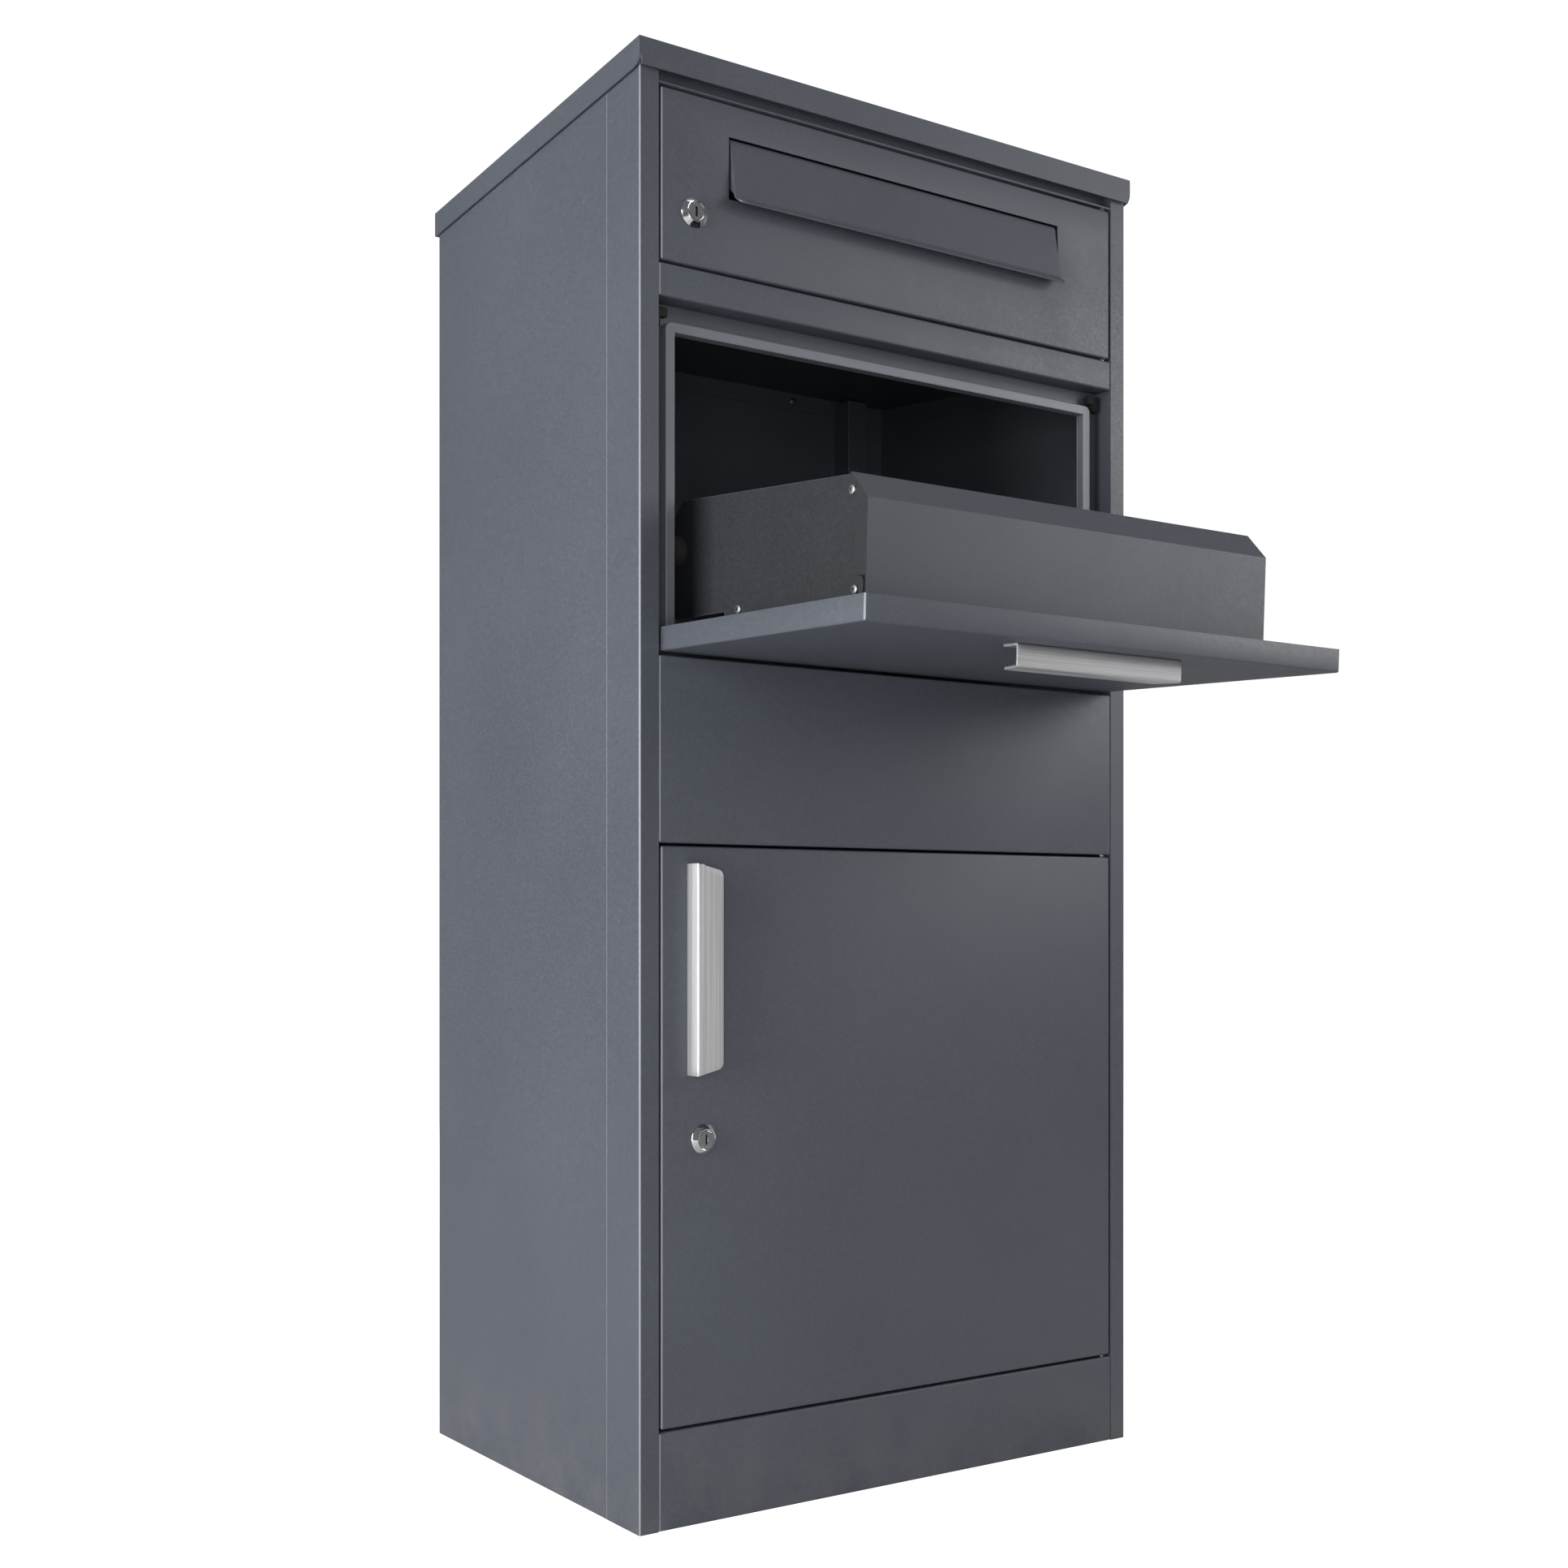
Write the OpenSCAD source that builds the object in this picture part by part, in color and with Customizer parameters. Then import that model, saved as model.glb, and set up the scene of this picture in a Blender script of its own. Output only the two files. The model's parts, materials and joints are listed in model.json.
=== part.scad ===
// Parcel drop box: a sheet-steel cabinet with a tilting parcel tray, a letter door and a parcel door.
// +X is to the right, +Y to the back, +Z up. The origin is the centre of the base, on the ground.
// The tray door is drawn open and the two side-hung doors are drawn shut.

/* [Cabinet] */
// Width across the side panels
body_w = 450; // [430:1:480]
// Depth from the faces of the doors to the back
body_d = 323; // [300:1:360]
// Thickness of the folded sheet
sheet = 1.2; // [1:0.1:1.4]
// Depth of every folded door and panel
fold_d = 16.5; // [15:0.5:17]
// Width of each front post's face
post_w = 15; // [14:0.5:20]
// Gap between a door and what stands next to it
gap = 2; // [1.6:0.1:2.4]

/* [Heights] */
// Top of the plinth
plinth_top = 67; // [55:1:90]
// Top of the parcel door
parcel_door_top = 466.4; // [440:0.1:480]
// Top of the fixed middle panel
middle_top = 596.2; // [585:0.1:610]
// Underside of the rail below the letter door
rail_bottom = 840.4; // [835:0.1:850]
// Top of the rail below the letter door
rail_top = 863.2; // [860:0.1:868]
// Top of the letter door
mail_door_top = 983; // [975:0.1:984]
// Underside of the rail above the letter door
top_rail_bottom = 985; // [984.5:0.1:988]

/* [Roof] */
// Height of the roof's top at the front
roof_front_z = 1010.6; // [1008:0.1:1020]
// Fall of the roof towards the back, in degrees
roof_fall = 3.62; // [3:0.01:4]
// Height of the roof's skirt
skirt_h = 18.7; // [16:0.1:22]
// How far the roof stands out in front
roof_over_front = 4; // [3:0.5:8]
// How far the roof stands out at each side
roof_over_side = 2.4; // [2:0.1:5]

/* [Tray door] */
// Droop of the open door below level, in degrees
drop_droop = 2.3; // [1:0.1:4]
// Height of the tray's front plate up to its fold
tray_front_h = 77.5; // [60:0.5:80]
// Rise and run of the tray's sloping top strip
tray_chamfer = 17.7; // [14:0.1:20]
// Distance between the outer faces of the tray's side plates
tray_w = 350; // [330:1:356]

/* [Letter flap] */
// Width of the letter slot
slot_w = 306.6; // [290:0.1:310]
// Top of the letter slot
slot_top = 960.4; // [958:0.1:962]
// Bottom of the letter slot
slot_bottom = 917; // [915:1:922]
// Outward lean of the resting flap, in degrees
flap_lean = 9; // [7:0.5:11]

/* [Locks and handles] */
// Letter door lock, in from the left side
mail_lock_in = 43.2; // [42:0.1:52]
// Height of the letter door lock
mail_lock_z = 901.6; // [896:0.1:906]
// Parcel door lock, in from the left side
parcel_lock_in = 51.3; // [48:0.1:60]
// Height of the parcel door lock
parcel_lock_z = 264.8; // [200:0.1:300]
// Length of each handle
handle_l = 145; // [120:1:160]
// How far a handle stands out
handle_out = 15.3; // [14:0.1:20]
// Width of a handle's outer lip
handle_lip = 20.5; // [18:0.5:24]

/* [Hidden] */
$fn = 48;
front = -body_d / 2;
back = body_d / 2;
half_w = body_w / 2;
post_in = half_w - post_w;
door_half = post_in - gap;
bend = 1.5;
seam = 0.4;

// Roof line: the height of the roof's top at a depth behind the front
roof_over_back = 3;
roof_rise = tan(roof_fall);
function roof_top(depth) = roof_front_z - roof_rise * depth;

// Hinges: the axis lies this far in from a door's edge and behind its face
hinge_in = 4.3;
pin_r = 2;
pin_bore_r = 2.06;
bush_r = 2.8;
bush_collar_r = 3.5;
bush_collar_h = 0.7;
pin_head_r = 3;
pin_head_h = 1.5;
pin_reach = 9;
side_hinge_x = door_half - hinge_in;
side_hinge_y = front + hinge_in;

// Tray door: u is measured up from the hinge axis and v back from it, with the door shut
drop_axis_z = middle_top + 7;
drop_axis_y = front + hinge_in;
drop_h = rail_bottom - gap - drop_axis_z + hinge_in;
drop_end_u = drop_h - hinge_in;
drop_fold_v = fold_d - hinge_in;
tray_half = tray_w / 2;
tray_front_u = drop_end_u - 42.2;
tray_floor_v = sheet + 0.1 - hinge_in;
tray_top_v = tray_front_h + tray_chamfer;
tray_tail_u = -40;
tray_rise = 10;
tray_notch_u = 31;
tray_notch_v = 22.5;
ear_from_u = 37;
ear_v = 30;
ear_screw_v = 21.8;
ear_x = tray_half + 1.5;
tab_w = 13;

// Opening behind the tray door
bulkhead_y = 18.2;
surround_y = 11;
surround_in_x = 190.6;
surround_w = 7;
surround_top = 820.7;
surround_foot_z = drop_axis_z + 12.3;
pad_t = 1.4;
nose_l = 6;

// Rubber stops on the tray: they meet the back of the bulkhead when the door is open
stop_r = 11;
stop_l = 20;
stop_gap = 0.4;
stop_back = bulkhead_y + sheet + stop_gap + stop_r - hinge_in;
stop_up = 71;
stop_u = -(cos(drop_droop) * stop_back + sin(drop_droop) * stop_up);
stop_v = cos(drop_droop) * stop_up - sin(drop_droop) * stop_back;

// Letter door and flap
mail_door_bottom = rail_top + gap;
shelf_front_z = 863;
shelf_slope = 0.11;
shelf_fold = 14.7;
shelf_low_y = front + fold_d + 3.5;
shelf_high_y = back - 3.4;
function shelf_z(y) = shelf_front_z + shelf_slope * (y - shelf_low_y);
flap_pivot_z = slot_top - 3.4;
flap_pivot_y = front + 4.8;
flap_half = slot_w / 2 - 1.8;
flap_plate_l = 40;
flap_lip_l = 10;
curl_r = 3.6;
rod_bracket_x = slot_w / 2 + 4;

// Parcel door
parcel_door_bottom = plinth_top + gap;
stiffener_w = 60;
stiffener_d = 12;

// Locks: a threaded barrel, a turning plug and a flat cam
bezel_r = 10.5;
bezel_h = 4;
barrel_r = 9.4;
barrel_end = 17.6;
plug_r = 6;
plug_fit = 0.06;
cam_y = 19.4;
cam_t = 2;
cam_w = 15;
strike_d = 18.2;
cam_past_post = 8;

// Handles: bent strip
handle_t = 1.5;
handle_in = 20;
handle_flange = 14;
handle_screw_at = 58;

// Screws
head_r = 3.4;
head_h = 1.8;
shank_r = 1.6;
nut_r = 3.6;

// Rear posts, which carry the shelf, and base
rear_post = 20;
rear_return = 22;
rear_post_x = half_w - 36;
rear_post_y = back - 4.4 - rear_post;
anchor_x = 330;
anchor_y = 220;
anchor_r = 5.5;

DARK = [0.28, 0.3, 0.33];
GREY = [0.42, 0.44, 0.47];
STEEL = [0.75, 0.74, 0.72];
BLACK = [0.08, 0.08, 0.09];

// ---- Shared shapes ----

// A block between two opposite corners
module block(low, high) { translate(low) cube(high - low); }

// An outline drawn in Y and Z, carried along X
module along_x(from_x, to_x) {
  translate([from_x, 0, 0]) rotate([90, 0, 90]) linear_extrude(to_x - from_x) children();
}

// A cylinder that points along +Y or +X
module rod_y(r, l) { rotate([-90, 0, 0]) cylinder(r = r, h = l); }
module rod_x(r, l) { rotate([0, 90, 0]) cylinder(r = r, h = l); }

// Plan of a folded panel: its face is on y = 0 and its two front corners are bent
module panel_plan(w, d, r) {
  union() {
    translate([-w / 2, r]) square([w, d - r]);
    translate([r - w / 2, 0]) square([w - 2 * r, r + 0.01]);
    for (side = [-1, 1]) translate([side * (w / 2 - r), r]) circle(r);
  }
}

// A sheet panel folded back along all four edges, standing on z = 0
module folded_panel(w, h, d) {
  difference() {
    linear_extrude(h) panel_plan(w, d, bend);
    translate([0, sheet, sheet]) linear_extrude(h - 2 * sheet)
      panel_plan(w - 2 * sheet, d, bend - sheet / 2);
  }
}

// Low screw head on z = 0, and the same head with its shank below
module screw_head() {
  union() {
    cylinder(r = head_r, h = head_h * 0.6);
    translate([0, 0, head_h * 0.6]) cylinder(r1 = head_r, r2 = head_r * 0.7, h = head_h * 0.4);
  }
}
module pan_screw(shank_l) {
  union() {
    screw_head();
    translate([0, 0, -shank_l]) cylinder(r = shank_r, h = shank_l + 0.1);
  }
}

// Hinge pin along +Z: its head lies below z = 0
module hinge_pin() {
  union() {
    translate([0, 0, -pin_head_h]) cylinder(r = pin_head_r, h = pin_head_h);
    translate([0, 0, -0.1]) cylinder(r = pin_r, h = pin_reach + 0.1);
  }
}

// Flanged bush for a door's fold: its collar lies below z = 0
module hinge_bush() {
  difference() {
    union() {
      translate([0, 0, -bush_collar_h]) cylinder(r = bush_collar_r, h = bush_collar_h);
      translate([0, 0, -0.1]) cylinder(r = bush_r, h = 4.1);
    }
    translate([0, 0, -bush_collar_h - 1]) cylinder(r = pin_bore_r, h = 8);
  }
}

// Places its children on a side-hung door's hinge axis at a height
module on_side_hinge(z) { translate([side_hinge_x, side_hinge_y, z]) children(); }

// Places its children, drawn shut around the hinge axis, where the open tray door has them
module on_drop_door() {
  translate([0, drop_axis_y, drop_axis_z]) rotate([90 + drop_droop, 0, 0]) children();
}

// Lock parts, drawn around the lock's axis with the door's face on y = 0
module lock_body() {
  difference() {
    union() {
      translate([0, -bezel_h * 0.45, 0]) rod_y(bezel_r, bezel_h * 0.45);
      translate([0, -bezel_h, 0]) rotate([-90, 0, 0])
        cylinder(r1 = bezel_r * 0.84, r2 = bezel_r, h = bezel_h * 0.55);
      translate([0, -0.1, 0]) rod_y(barrel_r, barrel_end + 0.1);
    }
    translate([0, -bezel_h - 1, 0]) rod_y(plug_r + plug_fit, barrel_end + bezel_h + 2);
  }
}
module lock_nut() {
  translate([0, sheet, 0]) rotate([-90, 0, 0]) difference() {
    cylinder(r = 13, h = 4, $fn = 6);
    translate([0, 0, -1]) cylinder(r = barrel_r + 0.05, h = 6);
  }
}
module lock_plug() {
  difference() {
    union() {
      translate([0, 0.6 - bezel_h, 0]) rod_y(plug_r, cam_y + bezel_h - 0.9);
      block([-3.9, cam_y - 0.4, -3.9], [3.9, cam_y + cam_t - 0.1, 3.9]);
    }
    block([-0.8, -bezel_h, -3.6], [0.8, 1.5, 3.6]);
    translate([0, cam_y - 6, 0]) rod_y(shank_r + 0.05, 10);
  }
}
module lock_cam(reach) {
  translate([0, cam_y, 0]) rotate([-90, 0, 0]) linear_extrude(cam_t) difference() {
    union() {
      circle(cam_w * 0.6);
      translate([-cam_w / 2, 0]) square([cam_w, reach - 4]);
      translate([-cam_w / 2 + 4, 0]) square([cam_w - 8, reach]);
      for (side = [-1, 1]) translate([side * (cam_w / 2 - 4), reach - 4]) circle(4);
    }
    square(8, center = true);
  }
}
module cam_screw() {
  translate([0, cam_y + cam_t, 0]) rotate([-90, 0, 0]) {
    cylinder(r = 5.5, h = 1);
    translate([0, 0, 0.9]) cylinder(r1 = 4.5, r2 = 3.4, h = 2);
    translate([0, 0, -7]) cylinder(r = shank_r, h = 7.1);
  }
}

// Strike plate on the inner face of the left post
module lock_strike() {
  union() {
    block([-post_in - 2 * sheet - 0.1, front + 6, -15], [-post_in - sheet - 0.1, front + strike_d, 15]);
    block([-post_in - 12, front + strike_d - sheet, -15], [-post_in - sheet - 0.1, front + strike_d, 15]);
  }
}

// Handle: a strip bent into a flange, a web and a lip, drawn with the door's face on y = 0.
// It is handle_l long in Z, with its web at x = 0 and its lip towards +X. The lip narrows to its
// free edge and has round corners.
module bent_handle() {
  corner = 5;
  taper = 14;
  centre = handle_lip - corner;
  rise = handle_l / 2 - centre * tan(taper) - corner / cos(taper);
  union() {
    block([0, -handle_t, -handle_l / 2], [handle_flange, 0, handle_l / 2]);
    block([0, -handle_out, -handle_l / 2], [handle_t, 0, handle_l / 2]);
    translate([0, handle_t - handle_out, 0]) rotate([90, 0, 0]) linear_extrude(handle_t) union() {
      for (end = [0, 1]) mirror([0, end, 0]) {
        polygon([[0, -0.1], [0, handle_l / 2], [centre + corner * sin(taper), rise + corner * cos(taper)],
          [centre, rise], [handle_lip, rise], [handle_lip, -0.1]]);
        translate([centre, rise]) circle(corner);
      }
    }
  }
}
module handle_screws() {
  for (end = [-1, 1]) translate([handle_flange / 2 + 1, -handle_t, end * handle_screw_at]) {
    rotate([90, 0, 0]) pan_screw(handle_t + sheet + 3);
    translate([0, handle_t + sheet, 0]) rotate([-90, 0, 0]) difference() {
      cylinder(r = nut_r, h = 2.4, $fn = 6);
      translate([0, 0, -1]) cylinder(r = shank_r + 0.05, h = 5);
    }
  }
}
module nut_holes() {
  for (end = [-1, 1]) translate([handle_flange / 2 + 1, 0, end * handle_screw_at]) rod_y(nut_r + 0.8, 6);
}
module handle_holes() {
  for (end = [-1, 1]) translate([handle_flange / 2 + 1, -handle_t - 1, end * handle_screw_at])
    rod_y(shank_r + 0.1, handle_t + sheet + 2);
}

// ---- Cabinet ----

module base_plate() {
  low = front + fold_d + 2.5;
  high = back - 2.8;
  inner = half_w - 2 * sheet - 0.5;
  lip_h = 20;
  color(DARK) difference() {
    block([-inner, low, 0], [inner, high, lip_h]);
    block([-inner + sheet, low + sheet, sheet], [inner - sheet, high - sheet, lip_h + 1]);
    for (sx = [-1, 1], sy = [-1, 1]) translate([sx * anchor_x / 2, sy * anchor_y / 2, -1])
      cylinder(r = anchor_r, h = 4);
  }
}

// Side panel: flush with the post's wrap, with a joggle behind it and a return at the back
module side_panel() {
  wrap = 45;
  top_cut = 9;
  under_roof = [[0, 0], [body_d, 0], [body_d, roof_top(body_d) - top_cut], [0, roof_top(0) - top_cut]];
  intersection() {
    linear_extrude(roof_front_z) union() {
      translate([-half_w, front + wrap]) square([sheet, body_d - wrap]);
      translate([-half_w, front + wrap]) square([2 * sheet + 0.2, sheet]);
      translate([-half_w + sheet + 0.2, front + 25]) square([sheet, wrap - 25 + sheet]);
      translate([-half_w, back - sheet]) square([rear_return, sheet]);
    }
    along_x(-half_w - 1, half_w) translate([front, 0]) polygon(under_roof);
  }
}
module left_side_panel() { color(DARK) side_panel(); }
module right_side_panel() { color(DARK) mirror([1, 0, 0]) side_panel(); }

module back_panel() {
  half = half_w - sheet - 0.4;
  color(DARK) block([-half, back - 2 * sheet - 0.1, 3], [half, back - sheet - 0.1, roof_top(body_d) - 9]);
}

// Front post: a face, a wrap round the corner and a return behind the doors' edges
module front_post() {
  wrap = 44.6;
  inner_return = 18;
  top_z = roof_top(wrap) - 5;
  linear_extrude(top_z) union() {
    difference() {
      union() {
        translate([-half_w, front + bend]) square([sheet, wrap - bend]);
        translate([-half_w + bend, front]) square([post_w - bend, sheet]);
        intersection() {
          translate([-half_w + bend, front + bend]) circle(bend);
          translate([-half_w, front]) square(bend);
        }
      }
      translate([-half_w + bend, front + bend]) circle(bend - sheet);
    }
    translate([-post_in - sheet, front]) square([sheet, inner_return]);
  }
}
// Holes for the tray door's hinge pins
module post_pin_hole() {
  translate([-post_in - 4, drop_axis_y, drop_axis_z]) rod_x(pin_r + 0.05, 6);
}
module left_front_post() { color(DARK) difference() { front_post(); post_pin_hole(); } }
module right_front_post() {
  color(DARK) mirror([1, 0, 0]) difference() { front_post(); post_pin_hole(); }
}

module rear_post_tube() {
  low_z = sheet + 0.1;
  top_z = shelf_z(rear_post_y) - 1;
  difference() {
    block([rear_post_x - rear_post, rear_post_y, low_z], [rear_post_x, rear_post_y + rear_post, top_z]);
    block([rear_post_x - rear_post + sheet, rear_post_y + sheet, 0],
      [rear_post_x - sheet, rear_post_y + rear_post - sheet, top_z + 1]);
  }
}
module right_rear_post() { color(DARK) rear_post_tube(); }
module left_rear_post() { color(DARK) mirror([1, 0, 0]) rear_post_tube(); }

// A fixed panel or rail between the posts
module fixed_panel(low_z, top_z) {
  translate([0, front, low_z]) folded_panel(2 * (post_in - seam), top_z - low_z, fold_d);
}
module plinth_panel() {
  color(DARK) difference() {
    fixed_panel(0, plinth_top);
    on_side_hinge(plinth_top - 3) cylinder(r = pin_r + 0.05, h = 5);
  }
}
module middle_panel() {
  color(DARK) difference() {
    fixed_panel(parcel_door_top + gap, middle_top);
    on_side_hinge(parcel_door_top + gap - 1) cylinder(r = pin_r + 0.05, h = 5);
  }
}
module mail_sill_rail() {
  color(DARK) difference() {
    fixed_panel(rail_bottom, rail_top);
    on_side_hinge(rail_top - 3) cylinder(r = pin_r + 0.05, h = 5);
  }
}

// Top rail: its face stands well back from its lower lip, under the roof
module top_rail() {
  half = post_in - seam;
  face_y = front + 9;
  top_z = roof_top(fold_d) - 5;
  color(DARK) difference() {
    union() {
      block([-half, front + 0.3, top_rail_bottom], [half, front + fold_d, top_rail_bottom + sheet]);
      block([-half, face_y, top_rail_bottom], [half, face_y + sheet, top_z]);
      block([-half, face_y, top_z - sheet], [half, front + fold_d, top_z]);
    }
    on_side_hinge(top_rail_bottom - 1) cylinder(r = pin_r + 0.05, h = 4);
  }
}

// Roof cap: a sloping sheet with a skirt all round
module roof_cap() {
  half = half_w + roof_over_side;
  y0 = front - roof_over_front;
  y1 = back + roof_over_back;
  front_z = roof_top(-roof_over_front);
  back_z = roof_top(body_d + roof_over_back);
  corner = 7;
  color(DARK) difference() {
    along_x(-half, half)
      polygon([[y0, front_z - skirt_h], [y1, back_z - skirt_h], [y1, back_z], [y0, front_z]]);
    along_x(-half + sheet, half - sheet) polygon([[y0 + sheet, 0], [y1 - sheet, 0],
      [y1 - sheet, back_z - sheet], [y0 + sheet, front_z - sheet]]);
    for (side = [-1, 1]) translate([side * half, y0 + corner, front_z - skirt_h]) rotate([0, 90, 0])
      difference() {
        translate([-corner, -corner - 1, -2]) cube([corner + 2, corner + 1, 4]);
        translate([-corner, 0, -3]) cylinder(r = corner, h = 6);
      }
  }
}

// Shelf under the letter store: it falls towards the door and has folds turned down
module mail_shelf() {
  half = half_w - 2 * sheet - 1;
  back_half = rear_post_x - rear_post - 8;
  low = shelf_low_y;
  high = shelf_high_y;
  side_end = high - 20;
  color(DARK) union() {
    along_x(-half, half)
      polygon([[low, shelf_z(low)], [high, shelf_z(high)], [high, shelf_z(high) + sheet], [low, shelf_z(low) + sheet]]);
    for (side = [0, 1]) mirror([side, 0, 0]) along_x(half - sheet, half)
      polygon([[low, shelf_z(low) - shelf_fold], [side_end, shelf_z(side_end) - shelf_fold],
        [side_end, shelf_z(side_end) + 0.1], [low, shelf_z(low) + 0.1]]);
    block([-back_half, high - sheet, shelf_z(high) - shelf_fold], [back_half, high, shelf_z(high) + 0.1]);
  }
}

// Plate behind the tray door, open in the middle and at its foot
module chute_bulkhead() {
  foot_z = middle_top - 26;
  half = half_w - sheet - 2;
  color(DARK) difference() {
    block([-half, front + bulkhead_y, foot_z], [half, front + bulkhead_y + sheet, rail_top - 3]);
    block([-surround_in_x, front, foot_z - 1], [surround_in_x, front + 40, surround_top]);
  }
}

// Surround: a folded edge that stands proud of the bulkhead on three sides
module chute_surround() {
  out_x = surround_in_x + surround_w;
  top_z = surround_top + surround_w;
  corner = 5;
  color(GREY) difference() {
    translate([0, front + bulkhead_y, 0]) rotate([90, 0, 0]) linear_extrude(bulkhead_y - surround_y) union() {
      translate([-out_x, surround_foot_z]) square([2 * out_x, top_z - corner - surround_foot_z]);
      translate([-out_x + corner, surround_foot_z]) square([2 * (out_x - corner), top_z - surround_foot_z]);
      for (side = [-1, 1]) translate([side * (out_x - corner), top_z - corner]) circle(corner);
    }
    block([-surround_in_x, front, 0], [surround_in_x, front + 40, surround_top]);
    for (side = [-1, 1]) translate([side * (surround_in_x + surround_w / 2), 0, 0])
      block([-surround_w / 2 + sheet, front + surround_y + sheet, 0],
        [surround_w / 2 - sheet, front + bulkhead_y + 1, surround_top + surround_w / 2]);
    block([-surround_in_x - 2, front + surround_y + sheet, surround_top + sheet],
      [surround_in_x + 2, front + bulkhead_y + 1, top_z - sheet]);
  }
}

// Hinge pins, held in the posts and in the panels' folds. The letter door's upper pin has no head.
module drop_hinge_pins() {
  color(STEEL) for (side = [0, 1]) mirror([side, 0, 0])
    translate([-post_in - sheet, drop_axis_y, drop_axis_z]) rotate([0, 90, 0]) hinge_pin();
}
module mail_hinge_pins() {
  color(STEEL) {
    on_side_hinge(rail_top - sheet) hinge_pin();
    on_side_hinge(top_rail_bottom + sheet - pin_reach) cylinder(r = pin_r, h = pin_reach);
  }
}
module parcel_hinge_pins() {
  color(STEEL) {
    on_side_hinge(plinth_top - sheet) hinge_pin();
    on_side_hinge(parcel_door_top + gap + sheet) mirror([0, 0, 1]) hinge_pin();
  }
}

module mail_lock_strike() { color(STEEL) translate([0, 0, mail_lock_z]) lock_strike(); }
module parcel_lock_strike() { color(STEEL) translate([0, 0, parcel_lock_z]) lock_strike(); }

// Rubber pads that the shut tray door meets. A hooked nose on each one guides the door's side fold.
module closing_pads() {
  pad_x = surround_in_x + surround_w + 1.5;
  pad_y = front + bulkhead_y;
  pad_low = surround_top + 4.2;
  pad_high = surround_top + 15.8;
  nose_out = door_half - sheet - 0.6;
  nose_w = 9.7;
  nose_bar = 6;
  nose_leg = 4;
  color(BLACK) for (side = [0, 1]) mirror([side, 0, 0]) union() {
    block([pad_x, pad_y - pad_t, pad_low], [post_in - 1, pad_y, pad_high]);
    translate([0, pad_y - pad_t + 0.1, 0]) rotate([90, 0, 0]) linear_extrude(nose_l) union() {
      translate([nose_out - nose_w, pad_high - nose_bar]) square([nose_w, nose_bar]);
      translate([nose_out - nose_leg, pad_low]) square([nose_leg, pad_high - pad_low - 1]);
    }
  }
}

module shelf_screws() {
  half = half_w - 3 * sheet - 1;
  side_y = front + 70;
  back_x = 120.4;
  middle = shelf_fold / 2;
  color(STEEL) for (side = [0, 1]) mirror([side, 0, 0]) {
    translate([-half, side_y, shelf_z(side_y) - middle]) rotate([0, 90, 0]) screw_head();
    translate([back_x, shelf_high_y - sheet, shelf_z(shelf_high_y) - middle]) rotate([90, 0, 0]) screw_head();
  }
}
module roof_screws() {
  y = back + roof_over_back;
  color(STEEL) for (x = [-150, 0, 150])
    translate([x, y, roof_top(body_d) - 9]) rotate([-90, 0, 0]) screw_head();
}
module panel_rivets() {
  rivet_rows = 5;
  color(DARK) for (side = [0, 1], i = [0:rivet_rows - 1]) mirror([side, 0, 0])
    translate([-half_w + rear_return / 2, back, 60 + i * (850 / (rivet_rows - 1))])
      rotate([-90, 0, 0]) cylinder(r1 = 3.2, r2 = 2.2, h = 1);
}

// ---- Tray door ----

module drop_door_panel() {
  color(DARK) on_drop_door() difference() {
    translate([0, -hinge_in, -hinge_in]) folded_panel(2 * door_half, drop_h, fold_d);
    for (side = [-1, 1]) translate([side * door_half, 0, 0]) rotate([0, 90, 0])
      cylinder(r = bush_r + 0.05, h = 8, center = true);
    drop_handle_place() handle_holes();
  }
}

// Floor of the tray, with two ears turned up against the side plates
module tray_floor() {
  edge = door_half - sheet - 1;
  v = tray_floor_v;
  corner = 4;
  ear_to_u = tray_front_u - 1.8;
  color(DARK) on_drop_door() union() {
    difference() {
      block([-edge, v, bush_r + 0.4], [edge, v + sheet, drop_end_u - 2.5]);
      drop_handle_place() nut_holes();
    }
    for (side = [0, 1]) mirror([side, 0, 0]) along_x(ear_x, ear_x + sheet) union() {
      translate([v, ear_from_u]) square([ear_v - v, ear_to_u - ear_from_u - corner]);
      translate([v, ear_from_u]) square([ear_v - v - corner, ear_to_u - ear_from_u]);
      translate([ear_v - corner, ear_to_u - corner]) circle(corner);
    }
  }
}

// Side plate of the tray, drawn with the door shut
module tray_side_outline() {
  v0 = tray_floor_v + sheet + 0.1;
  front_u = tray_front_u - sheet - 0.1;
  polygon([[v0, tray_notch_u], [v0, front_u], [tray_front_h - 1, front_u],
    [tray_top_v - 1, tray_front_u - tray_chamfer - sheet], [tray_top_v + tray_rise, tray_tail_u + 14],
    [tray_top_v + tray_rise - 14, tray_tail_u], [tray_notch_v + 8, tray_tail_u],
    [tray_notch_v, tray_tail_u + 8], [tray_notch_v, tray_notch_u]]);
}
module tray_side() {
  on_drop_door() along_x(-tray_half, -tray_half + sheet) tray_side_outline();
}
module tray_left_side() { color(DARK) tray_side(); }
module tray_right_side() { color(DARK) mirror([1, 0, 0]) tray_side(); }

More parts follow.
